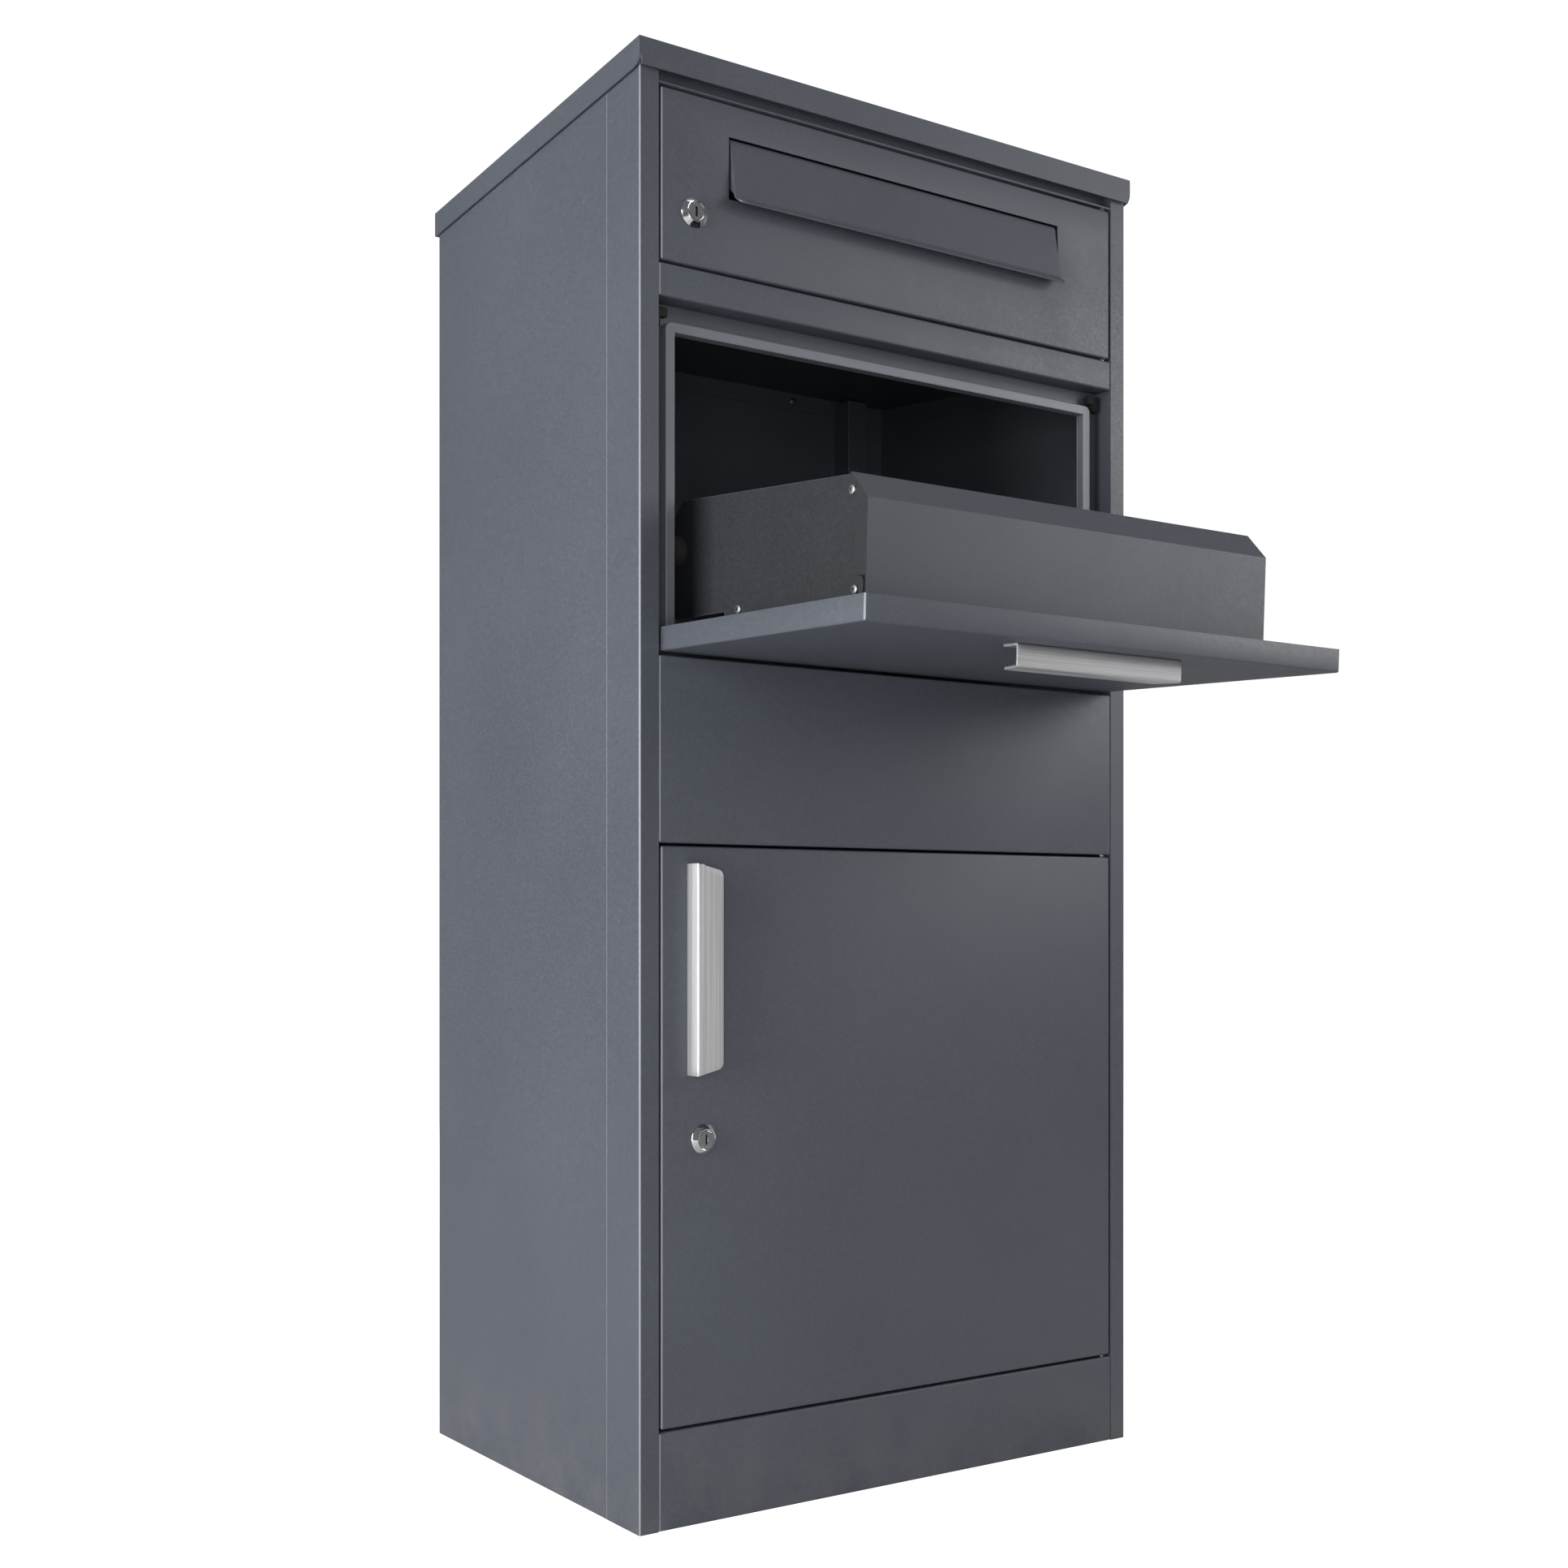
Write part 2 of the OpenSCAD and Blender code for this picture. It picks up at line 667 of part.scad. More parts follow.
// Front plate of the tray: an upright, a sloping top strip and tabs round the side plates
module tray_front_plate() {
  v0 = tray_floor_v + sheet + 0.1;
  half = tray_half + sheet + 0.1;
  u = tray_front_u;
  h = tray_front_h;
  c = tray_chamfer;
  k = sheet * tan(22.5);
  strip = [[v0, u], [h, u], [h + c, u - c], [h + c - sheet * 0.707, u - c - sheet * 0.707],
    [h - k, u - sheet], [v0, u - sheet]];
  tab_v = ear_v + 0.5;
  tab = [[tab_v, u - tab_w], [tab_v, u], [h, u], [h + c, u - c], [h + c - 8, u - c - 8],
    [h - k * 4, u - tab_w]];
  color(GREY) on_drop_door() union() {
    along_x(-half, half) polygon(strip);
    for (side = [0, 1]) mirror([side, 0, 0]) along_x(half - sheet, half) polygon(tab);
  }
}

// Screws through the ears and through the tabs
module tray_screws() {
  ear_out = ear_x + sheet;
  tab_out = tray_half + sheet + 0.1;
  color(STEEL) on_drop_door() for (side = [0, 1]) mirror([side, 0, 0]) {
    for (u = [ear_from_u + 16.5, tray_front_u - 9]) translate([ear_out, ear_screw_v, u])
      rotate([0, 90, 0]) screw_head();
    translate([tab_out, tray_front_h + 6.3, tray_front_u - 15.5]) rotate([0, 90, 0]) screw_head();
  }
}

// Rubber stops on the outer faces of the side plates
module tray_stops() {
  color(BLACK) on_drop_door() for (side = [0, 1]) mirror([side, 0, 0])
    translate([tray_half, stop_v, stop_u]) rotate([0, 90, 0]) union() {
      cylinder(r = stop_r, h = stop_l - 2);
      translate([0, 0, stop_l - 2]) cylinder(r1 = stop_r, r2 = stop_r - 2, h = 2);
    }
}

// The handle lies across the door, with its lip towards the hinge
module drop_handle_place() {
  translate([0, -hinge_in, drop_end_u - handle_in]) rotate([0, 90, 0]) children();
}
module drop_handle() {
  color(STEEL) on_drop_door() difference() {
    drop_handle_place() bent_handle();
    drop_handle_place() handle_holes();
  }
}
module drop_handle_screws() { color(STEEL) on_drop_door() drop_handle_place() handle_screws(); }
module drop_door_bushes() {
  color(BLACK) on_drop_door() for (side = [0, 1]) mirror([side, 0, 0])
    translate([-door_half, 0, 0]) rotate([0, 90, 0]) hinge_bush();
}

// ---- Letter door ----

module side_door(low_z, top_z) {
  difference() {
    translate([0, front, low_z]) folded_panel(2 * door_half, top_z - low_z, fold_d);
    for (z = [low_z, top_z]) on_side_hinge(z) cylinder(r = bush_r + 0.05, h = 6, center = true);
  }
}
module side_door_bushes(low_z, top_z) {
  on_side_hinge(low_z) hinge_bush();
  on_side_hinge(top_z) mirror([0, 0, 1]) hinge_bush();
}
mail_lock_at = [mail_lock_in - half_w, front, mail_lock_z];
parcel_lock_at = [parcel_lock_in - half_w, front, parcel_lock_z];

module mail_door_panel() {
  color(DARK) difference() {
    side_door(mail_door_bottom, mail_door_top);
    block([-slot_w / 2, front - 1, slot_bottom], [slot_w / 2, front + 4, slot_top]);
    translate(mail_lock_at - [0, 1, 0]) rod_y(barrel_r + 0.1, 5);
  }
}
module mail_door_bushes() { color(BLACK) side_door_bushes(mail_door_bottom, mail_door_top); }

// Rod that the flap swings on, and the two brackets that hold it
module flap_rod() {
  color(STEEL) translate([-rod_bracket_x - 3, flap_pivot_y, flap_pivot_z])
    rod_x(pin_r, 2 * (rod_bracket_x + 3));
}
module flap_rod_brackets() {
  y0 = front + sheet + 0.1;
  color(STEEL) for (side = [0, 1]) mirror([side, 0, 0]) difference() {
    union() {
      block([rod_bracket_x, y0, flap_pivot_z - 8], [rod_bracket_x + sheet, y0 + 11, flap_pivot_z + 8]);
      block([rod_bracket_x, y0, flap_pivot_z - 8], [rod_bracket_x + 12, y0 + sheet, flap_pivot_z + 8]);
    }
    translate([rod_bracket_x - 1, flap_pivot_y, flap_pivot_z]) rod_x(pin_r + 0.05, 4);
  }
}
module mail_lock_body() { color(STEEL) translate(mail_lock_at) lock_body(); }
module mail_lock_nut() { color(STEEL) translate(mail_lock_at) lock_nut(); }

// Flap: a curl round the rod, a plate that leans outward, a flared lip and two side ears
module letter_flap() {
  half = flap_half;
  lip_y = flap_lip_l * sin(45 - flap_lean);
  lip_z = flap_lip_l * cos(45 - flap_lean);
  ear_d = 7;
  color(DARK) translate([0, flap_pivot_y, flap_pivot_z]) rotate([-flap_lean, 0, 0]) difference() {
    union() {
      along_x(-half, half) union() {
        circle(curl_r);
        translate([-curl_r, -flap_plate_l]) square([sheet, flap_plate_l]);
        polygon([[-curl_r, -flap_plate_l], [-curl_r - lip_y, -flap_plate_l - lip_z],
          [-curl_r - lip_y + sheet * 0.8, -flap_plate_l - lip_z - sheet * 0.6],
          [sheet - curl_r, -flap_plate_l - 0.4], [sheet - curl_r, -flap_plate_l]]);
      }
      for (side = [0, 1]) mirror([side, 0, 0]) along_x(half - sheet, half)
        polygon([[-curl_r, -3], [-curl_r, -flap_plate_l + 1], [sheet - curl_r, -flap_plate_l + 1],
          [ear_d - curl_r, -flap_plate_l + 9], [ear_d - curl_r, -3]]);
    }
    translate([-half - 1, 0, 0]) rod_x(pin_bore_r, 2 * half + 2);
    for (side = [0, 1]) mirror([side, 0, 0]) translate([half, -curl_r - lip_y, -flap_plate_l - lip_z])
      rotate([0, 45, 0]) cube([4, 30, 4], center = true);
  }
}

module mail_lock_plug() { color(STEEL) translate(mail_lock_at) lock_plug(); }
module mail_lock_cam() {
  color(STEEL) translate(mail_lock_at) lock_cam(mail_lock_in - post_w + cam_past_post);
}
module mail_cam_screw() { color(STEEL) translate(mail_lock_at) cam_screw(); }

// ---- Parcel door ----

module parcel_door_panel() {
  color(DARK) difference() {
    side_door(parcel_door_bottom, parcel_door_top);
    translate(parcel_lock_at - [0, 1, 0]) rod_y(barrel_r + 0.1, 5);
    parcel_handle_place() handle_holes();
  }
}
module parcel_door_stiffener() {
  rim = 10;
  low_z = parcel_door_bottom + 12;
  top_z = parcel_door_top - 12;
  color(DARK) translate([0, front + sheet + 0.1, low_z]) linear_extrude(top_z - low_z) union() {
    translate([-stiffener_w / 2 + sheet, stiffener_d - sheet]) square([stiffener_w - 2 * sheet, sheet]);
    for (side = [0, 1]) mirror([side, 0]) {
      translate([stiffener_w / 2 - sheet, 0]) square([sheet, stiffener_d]);
      translate([stiffener_w / 2 - sheet, 0]) square([rim, sheet]);
    }
  }
}
module parcel_door_bushes() { color(BLACK) side_door_bushes(parcel_door_bottom, parcel_door_top); }

// The handle stands upright, with its lip towards the hinge
module parcel_handle_place() {
  translate([-door_half + handle_in, front, 381.9]) children();
}
module parcel_handle() {
  color(STEEL) difference() {
    parcel_handle_place() bent_handle();
    parcel_handle_place() handle_holes();
  }
}
module parcel_handle_screws() { color(STEEL) parcel_handle_place() handle_screws(); }
module parcel_lock_body() { color(STEEL) translate(parcel_lock_at) lock_body(); }
module parcel_lock_nut() { color(STEEL) translate(parcel_lock_at) lock_nut(); }
module parcel_lock_plug() { color(STEEL) translate(parcel_lock_at) lock_plug(); }
module parcel_lock_cam() {
  color(STEEL) translate(parcel_lock_at) lock_cam(parcel_lock_in - post_w + cam_past_post);
}
module parcel_cam_screw() { color(STEEL) translate(parcel_lock_at) cam_screw(); }

base_plate();
left_side_panel();
right_side_panel();
back_panel();
left_front_post();
right_front_post();
left_rear_post();
right_rear_post();
plinth_panel();
middle_panel();
mail_sill_rail();
top_rail();
roof_cap();
mail_shelf();
chute_bulkhead();
chute_surround();
drop_hinge_pins();
mail_hinge_pins();
parcel_hinge_pins();
mail_lock_strike();
parcel_lock_strike();
closing_pads();
shelf_screws();
roof_screws();
panel_rivets();
drop_door_panel();
tray_floor();
tray_left_side();
tray_right_side();
tray_front_plate();
tray_screws();
tray_stops();
drop_handle();
drop_handle_screws();
drop_door_bushes();
mail_door_panel();
mail_door_bushes();
flap_rod();
flap_rod_brackets();
mail_lock_body();
mail_lock_nut();
letter_flap();
mail_lock_plug();
mail_lock_cam();
mail_cam_screw();
parcel_door_panel();
parcel_door_stiffener();
parcel_door_bushes();
parcel_handle();
parcel_handle_screws();
parcel_lock_body();
parcel_lock_nut();
parcel_lock_plug();
parcel_lock_cam();
parcel_cam_screw();
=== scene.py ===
"""Parcel drop box: a folded sheet-steel cabinet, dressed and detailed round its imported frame.

The frame gives every size and place. All lengths are in metres, +X is right, +Y back and +Z up.
"""
import json
import logging
import math
from dataclasses import dataclass, field
from enum import Enum
from typing import Callable, Iterable, Optional, Sequence, Union

import bmesh
import bpy
import numpy as np
from mathutils import Matrix, Vector


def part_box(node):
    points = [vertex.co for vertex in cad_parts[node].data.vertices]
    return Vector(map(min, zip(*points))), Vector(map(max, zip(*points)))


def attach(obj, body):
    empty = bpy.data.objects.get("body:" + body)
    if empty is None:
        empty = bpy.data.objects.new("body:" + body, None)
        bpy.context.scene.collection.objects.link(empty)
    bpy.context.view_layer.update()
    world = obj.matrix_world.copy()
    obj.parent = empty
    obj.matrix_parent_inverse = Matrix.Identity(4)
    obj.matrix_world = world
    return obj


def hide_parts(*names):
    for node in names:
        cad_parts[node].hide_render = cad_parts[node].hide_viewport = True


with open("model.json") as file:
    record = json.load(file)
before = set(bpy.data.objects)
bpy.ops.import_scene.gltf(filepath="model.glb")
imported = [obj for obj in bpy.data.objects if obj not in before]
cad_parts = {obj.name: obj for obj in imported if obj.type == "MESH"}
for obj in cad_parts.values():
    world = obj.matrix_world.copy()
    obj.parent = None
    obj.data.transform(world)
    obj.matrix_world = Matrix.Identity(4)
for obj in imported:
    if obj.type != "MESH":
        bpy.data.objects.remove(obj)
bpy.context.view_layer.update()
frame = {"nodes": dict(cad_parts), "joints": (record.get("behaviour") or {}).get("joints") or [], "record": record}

log = logging.getLogger("parcel_drop_box")

MM = 0.001
SHEET = 1.2 * MM
BEND = 1.5 * MM
BEND_STEPS = 4
MERGE = 0.01 * MM
SORT_DIGITS = 5
SMOOTH_ANGLE = math.radians(32)
FLAT_ANGLE = math.radians(1)
ROUNDED_ANGLE = math.radians(40)
RAW_EDGE_ANGLE = math.radians(50)

Colour = tuple[float, float, float]
Outline = Sequence[tuple[float, float]]
Box = tuple[Vector, Vector]
Seat = tuple[Vector, Vector]
Socket = bpy.types.NodeSocket
Value = Union[Socket, float, tuple]
WHITE: Colour = (1.0, 1.0, 1.0)
BODY_OF = {node: body for body, nodes in frame["record"]["behaviour"]["bodies"].items() for node in nodes}
JOINTS = {joint["name"]: joint for joint in frame["joints"]}


# ---- Node trees ----

class NodeBuilder:
    """Adds nodes to a tree and wires them as they are made."""

    def __init__(self, tree: bpy.types.NodeTree) -> None:
        """Starts on a node tree."""
        self.tree = tree

    def fill(self, node: bpy.types.Node, inputs: dict) -> bpy.types.Node:
        """Sets or wires a node's inputs.

        Args:
            node: the node.
            inputs: values or sockets, by input name or index.

        Returns:
            The same node.
        """
        for key, value in inputs.items():
            if isinstance(value, Socket):
                self.tree.links.new(value, node.inputs[key])
            else:
                node.inputs[key].default_value = value
        return node

    def add(self, kind: str, inputs: Optional[dict] = None, **settings: object) -> bpy.types.Node:
        """Adds one node.

        Args:
            kind: the node's type name.
            inputs: values or sockets, by input name or index.
            settings: properties of the node, such as operation.

        Returns:
            The new node.
        """
        node = self.tree.nodes.new(kind)
        for key, value in settings.items():
            setattr(node, key, value)
        return self.fill(node, inputs or {})

    def group(self, group: "SharedGroup", inputs: dict) -> bpy.types.Node:
        """Adds a node that holds a shared group.

        Args:
            group: which group it holds.
            inputs: values or sockets, by input name.

        Returns:
            The new node.
        """
        node = self.tree.nodes.new("ShaderNodeGroup")
        node.node_tree = shared(group)
        return self.fill(node, inputs)

    def math(self, operation: str, *values: Value) -> Socket:
        """Returns the result socket of a Math node on the given values or sockets."""
        return self.add("ShaderNodeMath", dict(enumerate(values)), operation=operation).outputs[0]

    def blend(self, first: Value, second: Value, share: float) -> Socket:
        """Returns a socket with a share of the first value and the rest of the second."""
        main = self.math("MULTIPLY", first, share)
        return self.math("ADD", main, self.math("MULTIPLY", second, 1.0 - share))

    def mix(self, factor: Value, first: Value, second: Value, blend: str = "MIX") -> Socket:
        """Returns the colour socket of a colour Mix node."""
        colours = {0: factor, 6: first, 7: second}
        return self.add("ShaderNodeMix", colours, data_type="RGBA", blend_type=blend).outputs[2]

    def ramp(self, value: Value, low: Value, high: Value, to_low: Value = 0.0,
             to_high: Value = 1.0) -> Socket:
        """Returns value mapped from low..high to to_low..to_high, clamped."""
        sockets = {"Value": value, "From Min": low, "From Max": high, "To Min": to_low, "To Max": to_high}
        return self.add("ShaderNodeMapRange", sockets).outputs["Result"]

    def noise(self, vector: Socket, scale: Value, detail: float = 2.0, roughness: float = 0.5) -> Socket:
        """Returns the value socket of a Noise texture."""
        sockets = {"Vector": vector, "Scale": scale, "Detail": detail, "Roughness": roughness}
        return self.add("ShaderNodeTexNoise", sockets).outputs["Fac"]


def new_group(name: str, inputs: dict[str, str], outputs: dict[str, str]) -> tuple:
    """Starts a shader node group.

    Args:
        name: the group's name.
        inputs: socket type by input name.
        outputs: socket type by output name.

    Returns:
        The tree, its builder, the input node's outputs and the output node's inputs.
    """
    tree = bpy.data.node_groups.new(name, "ShaderNodeTree")
    for label, kind in inputs.items():
        tree.interface.new_socket(label, in_out="INPUT", socket_type=kind)
    for label, kind in outputs.items():
        tree.interface.new_socket(label, in_out="OUTPUT", socket_type=kind)
    build = NodeBuilder(tree)
    return tree, build, build.add("NodeGroupInput").outputs, build.add("NodeGroupOutput").inputs


FLOAT, COLOUR, VECTOR = "NodeSocketFloat", "NodeSocketColor", "NodeSocketVector"


def coating_group() -> bpy.types.NodeTree:
    """Fine orange peel of a baked coating: colour flecks, a rough-smooth mottle and a grain height.

    Returns:
        The group.
    """
    broad_scale, drift_scale = 0.34, 5.0
    fine_band, broad_band, spread = (0.46, 0.72), (0.45, 0.7), (0.3, 0.7)
    drift_shades = (0.93, 1.07)
    fleck_share, height_share = 0.6, 0.55
    tree, build, given, out = new_group(
        "coating_texture",
        {"Vector": VECTOR, "Tint": COLOUR, "Fleck": COLOUR, "Fleck Amount": FLOAT, "Grain": FLOAT,
         "Gloss Low": FLOAT, "Gloss High": FLOAT},
        {"Color": COLOUR, "Roughness": FLOAT, "Height": FLOAT})
    fine_scale = build.math("DIVIDE", 1.0, given["Grain"])
    fine = build.noise(given["Vector"], fine_scale, 3.0, 0.6)
    broad = build.noise(given["Vector"], build.math("MULTIPLY", fine_scale, broad_scale))
    drift = build.noise(given["Vector"], drift_scale, 3.0, 0.55)
    flecks = build.blend(build.ramp(fine, *fine_band), build.ramp(broad, *broad_band), fleck_share)
    fleck = build.math("MULTIPLY", flecks, given["Fleck Amount"])
    mottle = build.ramp(drift, *spread, *drift_shades)
    tinted = build.mix(fleck, given["Tint"], given["Fleck"])
    shade = build.add("ShaderNodeCombineColor", {0: mottle, 1: mottle, 2: mottle}).outputs[0]
    tree.links.new(build.mix(1.0, tinted, shade, "MULTIPLY"), out["Color"])
    tree.links.new(build.ramp(broad, *spread, given["Gloss Low"], given["Gloss High"]), out["Roughness"])
    tree.links.new(build.blend(fine, broad, height_share), out["Height"])
    return tree


def handling_group() -> bpy.types.NodeTree:
    """Faint marks of use: broad smudges, and dust with fine specks that gathers near the ground.

    Returns:
        The group.
    """
    cloud_scale, speck_scale, smudge_scale = 26.0, 420.0, 9.0
    cloud_band, speck_band, smudge_band = (0.38, 0.72), (0.55, 0.7), (0.42, 0.7)
    speck_share, dust_roughness = 0.5, 0.3
    tree, build, given, out = new_group(
        "handling_marks",
        {"Vector": VECTOR, "Color": COLOUR, "Dust": COLOUR, "Dust Amount": FLOAT, "Dust Height": FLOAT,
         "Roughness": FLOAT, "Smudge": FLOAT},
        {"Color": COLOUR, "Roughness": FLOAT})
    up = build.add("ShaderNodeSeparateXYZ", {0: given["Vector"]}).outputs["Z"]
    near = build.ramp(up, 0.0, given["Dust Height"], 1.0, 0.0)
    cloud = build.ramp(build.noise(given["Vector"], cloud_scale, 5.0, 0.62), *cloud_band)
    speck = build.ramp(build.noise(given["Vector"], speck_scale, 2.0, 0.6), *speck_band)
    dusty = build.math("MULTIPLY", build.math("MULTIPLY", near, near), given["Dust Amount"])
    dirt = build.math("ADD", cloud, build.math("MULTIPLY", speck, speck_share))
    amount = build.math("MULTIPLY", dusty, dirt)
    smudge = build.ramp(build.noise(given["Vector"], smudge_scale, 4.0, 0.6), *smudge_band)
    rub = build.math("ADD", given["Roughness"], build.math("MULTIPLY", smudge, given["Smudge"]))
    rough = build.math("ADD", rub, build.math("MULTIPLY", amount, dust_roughness))
    tree.links.new(build.mix(amount, given["Color"], given["Dust"]), out["Color"])
    tree.links.new(rough, out["Roughness"])
    return tree


def brushed_group() -> bpy.types.NodeTree:
    """Long fine strokes of a brushed metal, along the direction in which the vector is stretched.

    Returns:
        The group.
    """
    band_scale, stroke_share, spread = 0.18, 0.7, (0.3, 0.7)
    tree, build, given, out = new_group(
        "brushed_strokes",
        {"Vector": VECTOR, "Light": COLOUR, "Dark": COLOUR, "Rough Low": FLOAT, "Rough High": FLOAT},
        {"Color": COLOUR, "Roughness": FLOAT, "Height": FLOAT})
    strokes = build.noise(given["Vector"], 1.0, 6.0, 0.7)
    both = build.blend(strokes, build.noise(given["Vector"], band_scale), stroke_share)
    tree.links.new(build.mix(build.ramp(both, *spread), given["Dark"], given["Light"]), out["Color"])
    tree.links.new(build.ramp(both, *spread, given["Rough Low"], given["Rough High"]), out["Roughness"])
    tree.links.new(strokes, out["Height"])
    return tree


def painted_light_masks_group() -> bpy.types.NodeTree:
    """Masks for painted light: a painted highlight on the upright bends, and painted shade on the flanks, which
    face sideways.

    Returns:
        The group.
    """
    highlight_band, shade_band = (0.05, 0.17), (0.85, 0.97)
    tree, build, given, out = new_group(
        "painted_bend_highlight_and_flank_shade", {"Normal": VECTOR, "Bend Highlight Amount": FLOAT, "Flank Shade Amount": FLOAT},
        {"Bend": FLOAT, "Flank": FLOAT})
    parts = build.add("ShaderNodeSeparateXYZ", {0: given["Normal"]}).outputs
    aside = build.math("MULTIPLY", parts["X"], parts["X"])
    ahead = build.math("MULTIPLY", parts["Y"], parts["Y"])
    # Painted highlight: lightens where the normal turns between side and front.
    turned = build.ramp(build.math("MULTIPLY", aside, ahead), *highlight_band)
    tree.links.new(build.math("MULTIPLY", turned, given["Bend Highlight Amount"]), out["Bend"])
    # Painted shade: darkens the surfaces that face sideways.
    sideways = build.ramp(aside, *shade_band)
    tree.links.new(build.math("MULTIPLY", sideways, given["Flank Shade Amount"]), out["Flank"])
    return tree


class SharedGroup(Enum):
    """The shader groups that several finishes share."""

    # Painted bend highlight and painted flank shade.
    BEND = "painted_bend_highlight_and_flank_shade"
    COATING = "coating_texture"
    HANDLING = "handling_marks"
    BRUSHED = "brushed_strokes"


GROUP_MAKERS: dict[SharedGroup, Callable[[], bpy.types.NodeTree]] = {
    SharedGroup.BEND: painted_light_masks_group,
    SharedGroup.COATING: coating_group,
    SharedGroup.HANDLING: handling_group,
    SharedGroup.BRUSHED: brushed_group,
}


def shared(group: SharedGroup) -> bpy.types.NodeTree:
    """Returns a shader group, built the first time that it is asked for."""
    return bpy.data.node_groups.get(group.value) or GROUP_MAKERS[group]()


def rgba(colour: Colour) -> tuple[float, float, float, float]:
    """Returns a colour with full alpha."""
    return (*colour, 1.0)


# ---- Finishes ----

class Axis(Enum):
    """The direction that a brushed grain runs in, with its strokes per metre along each axis."""

    X = (8.0, 2600.0, 2600.0)
    Z = (2600.0, 2600.0, 8.0)


@dataclass(frozen=True)
class Wiring:
    """What a finish is wired into.

    Attributes:
        build: the material's builder.
        shader: the material's shader.
        place: the surface's object coordinates.
        facing: the surface's normal, in the object's own frame.
    """

    build: NodeBuilder
    shader: bpy.types.Node
    place: Socket
    facing: Socket

    def feed(self, colours: bpy.types.Node, relief: bpy.types.Node, depth: float) -> None:
        """Feeds the shader.

        Args:
            colours: the node with the colour and the roughness.
            relief: the node with the height.
            depth: how deep the relief is.
        """
        bump = self.build.add("ShaderNodeBump", {"Height": relief.outputs["Height"], "Distance": depth})
        self.build.fill(self.shader, {
            "Base Color": colours.outputs["Color"], "Roughness": colours.outputs["Roughness"],
            "Normal": bump.outputs["Normal"]})


@dataclass(frozen=True)
class Finish:
    """A surface finish, made as one material.

    Attributes:
        name: the material's name.
        slot: the record's material slot; not used.
    """

    name: str
    slot: str

    def material(self) -> bpy.types.Material:
        """Builds the finish's material the first time that it is asked for.

        Returns:
            The material.
        """
        found = bpy.data.materials.get(self.name)
        if found:
            return found
        made = bpy.data.materials.new(self.name)
        made.use_nodes = True
        made.node_tree.nodes.clear()
        build = NodeBuilder(made.node_tree)
        shader = build.add("ShaderNodeBsdfPrincipled")
        surface = build.add("ShaderNodeTexCoord").outputs
        self.wire(Wiring(build, shader, surface["Object"], surface["Normal"]))
        build.add("ShaderNodeOutputMaterial", {"Surface": shader.outputs[0]})
        return made

    def wire(self, on: Wiring) -> None:
        """Wires the finish's texture to its shader. Each kind of finish has its own."""
        raise NotImplementedError


@dataclass(frozen=True)
class PowderCoat(Finish):
    """Baked powder on sheet steel, with a fine orange peel.

    Attributes:
        tint: colour of the coat.
        fleck: colour of the small bright flecks.
        fleck_amount: how strongly the flecks show.
        grain: size of the orange peel.
        depth: depth of the orange peel.
        gloss: lowest and highest roughness.
        dust: how much dust lies near the ground.
        dust_tint: colour of the dust.
        dust_height: how high the dust reaches.
        smudge: how much rougher the smudges are.
        painted_bend_highlight_tint: colour of the painted highlight on the upright bends.
        painted_bend_highlight_amount: how strongly that painted highlight shows.
        painted_flank_shade_tint: colour of the painted shade on the surfaces that face sideways.
        painted_flank_shade_amount: how strongly that painted shade shows.
    """

    tint: Colour = (0.070, 0.0775, 0.096)
    fleck: Colour = (0.15, 0.165, 0.195)
    fleck_amount: float = 0.3
    grain: float = 0.8 * MM
    depth: float = 0.08 * MM
    gloss: tuple[float, float] = (0.42, 0.54)
    dust: float = 0.16
    dust_tint: Colour = (0.3, 0.28, 0.25)
    dust_height: float = 0.12
    smudge: float = 0.05
    # Painted highlight on the upright bends; painted shade on the sideways flanks, off unless set.
    painted_bend_highlight_tint: Colour = (0.4, 0.42, 0.46)
    painted_bend_highlight_amount: float = 0.7
    painted_flank_shade_tint: Colour = (0.012, 0.0125, 0.016)
    painted_flank_shade_amount: float = 0.0

    def wire(self, on: Wiring) -> None:
        """Wires orange peel, flecks, a painted highlight on the upright bends, painted shade on the sideways
        flanks and handling marks.

        Args:
            on: what it is wired into.
        """
        coat = on.build.group(SharedGroup.COATING, {
            "Vector": on.place, "Tint": rgba(self.tint), "Fleck": rgba(self.fleck),
            "Fleck Amount": self.fleck_amount, "Grain": self.grain,
            "Gloss Low": self.gloss[0], "Gloss High": self.gloss[1]})
        bend = on.build.group(SharedGroup.BEND, {
            "Normal": on.facing, "Bend Highlight Amount": self.painted_bend_highlight_amount, "Flank Shade Amount": self.painted_flank_shade_amount})
        # Painted shade on the sideways flanks, then a painted highlight on the upright bends.
        deep = on.build.mix(bend.outputs["Flank"], coat.outputs["Color"], rgba(self.painted_flank_shade_tint))
        highlighted = on.build.mix(bend.outputs["Bend"], deep, rgba(self.painted_bend_highlight_tint))
        marks = on.build.group(SharedGroup.HANDLING, {
            "Vector": on.place, "Color": highlighted, "Dust": rgba(self.dust_tint), "Dust Amount": self.dust,
            "Dust Height": self.dust_height, "Roughness": coat.outputs["Roughness"], "Smudge": self.smudge})
        on.feed(marks, coat, self.depth)


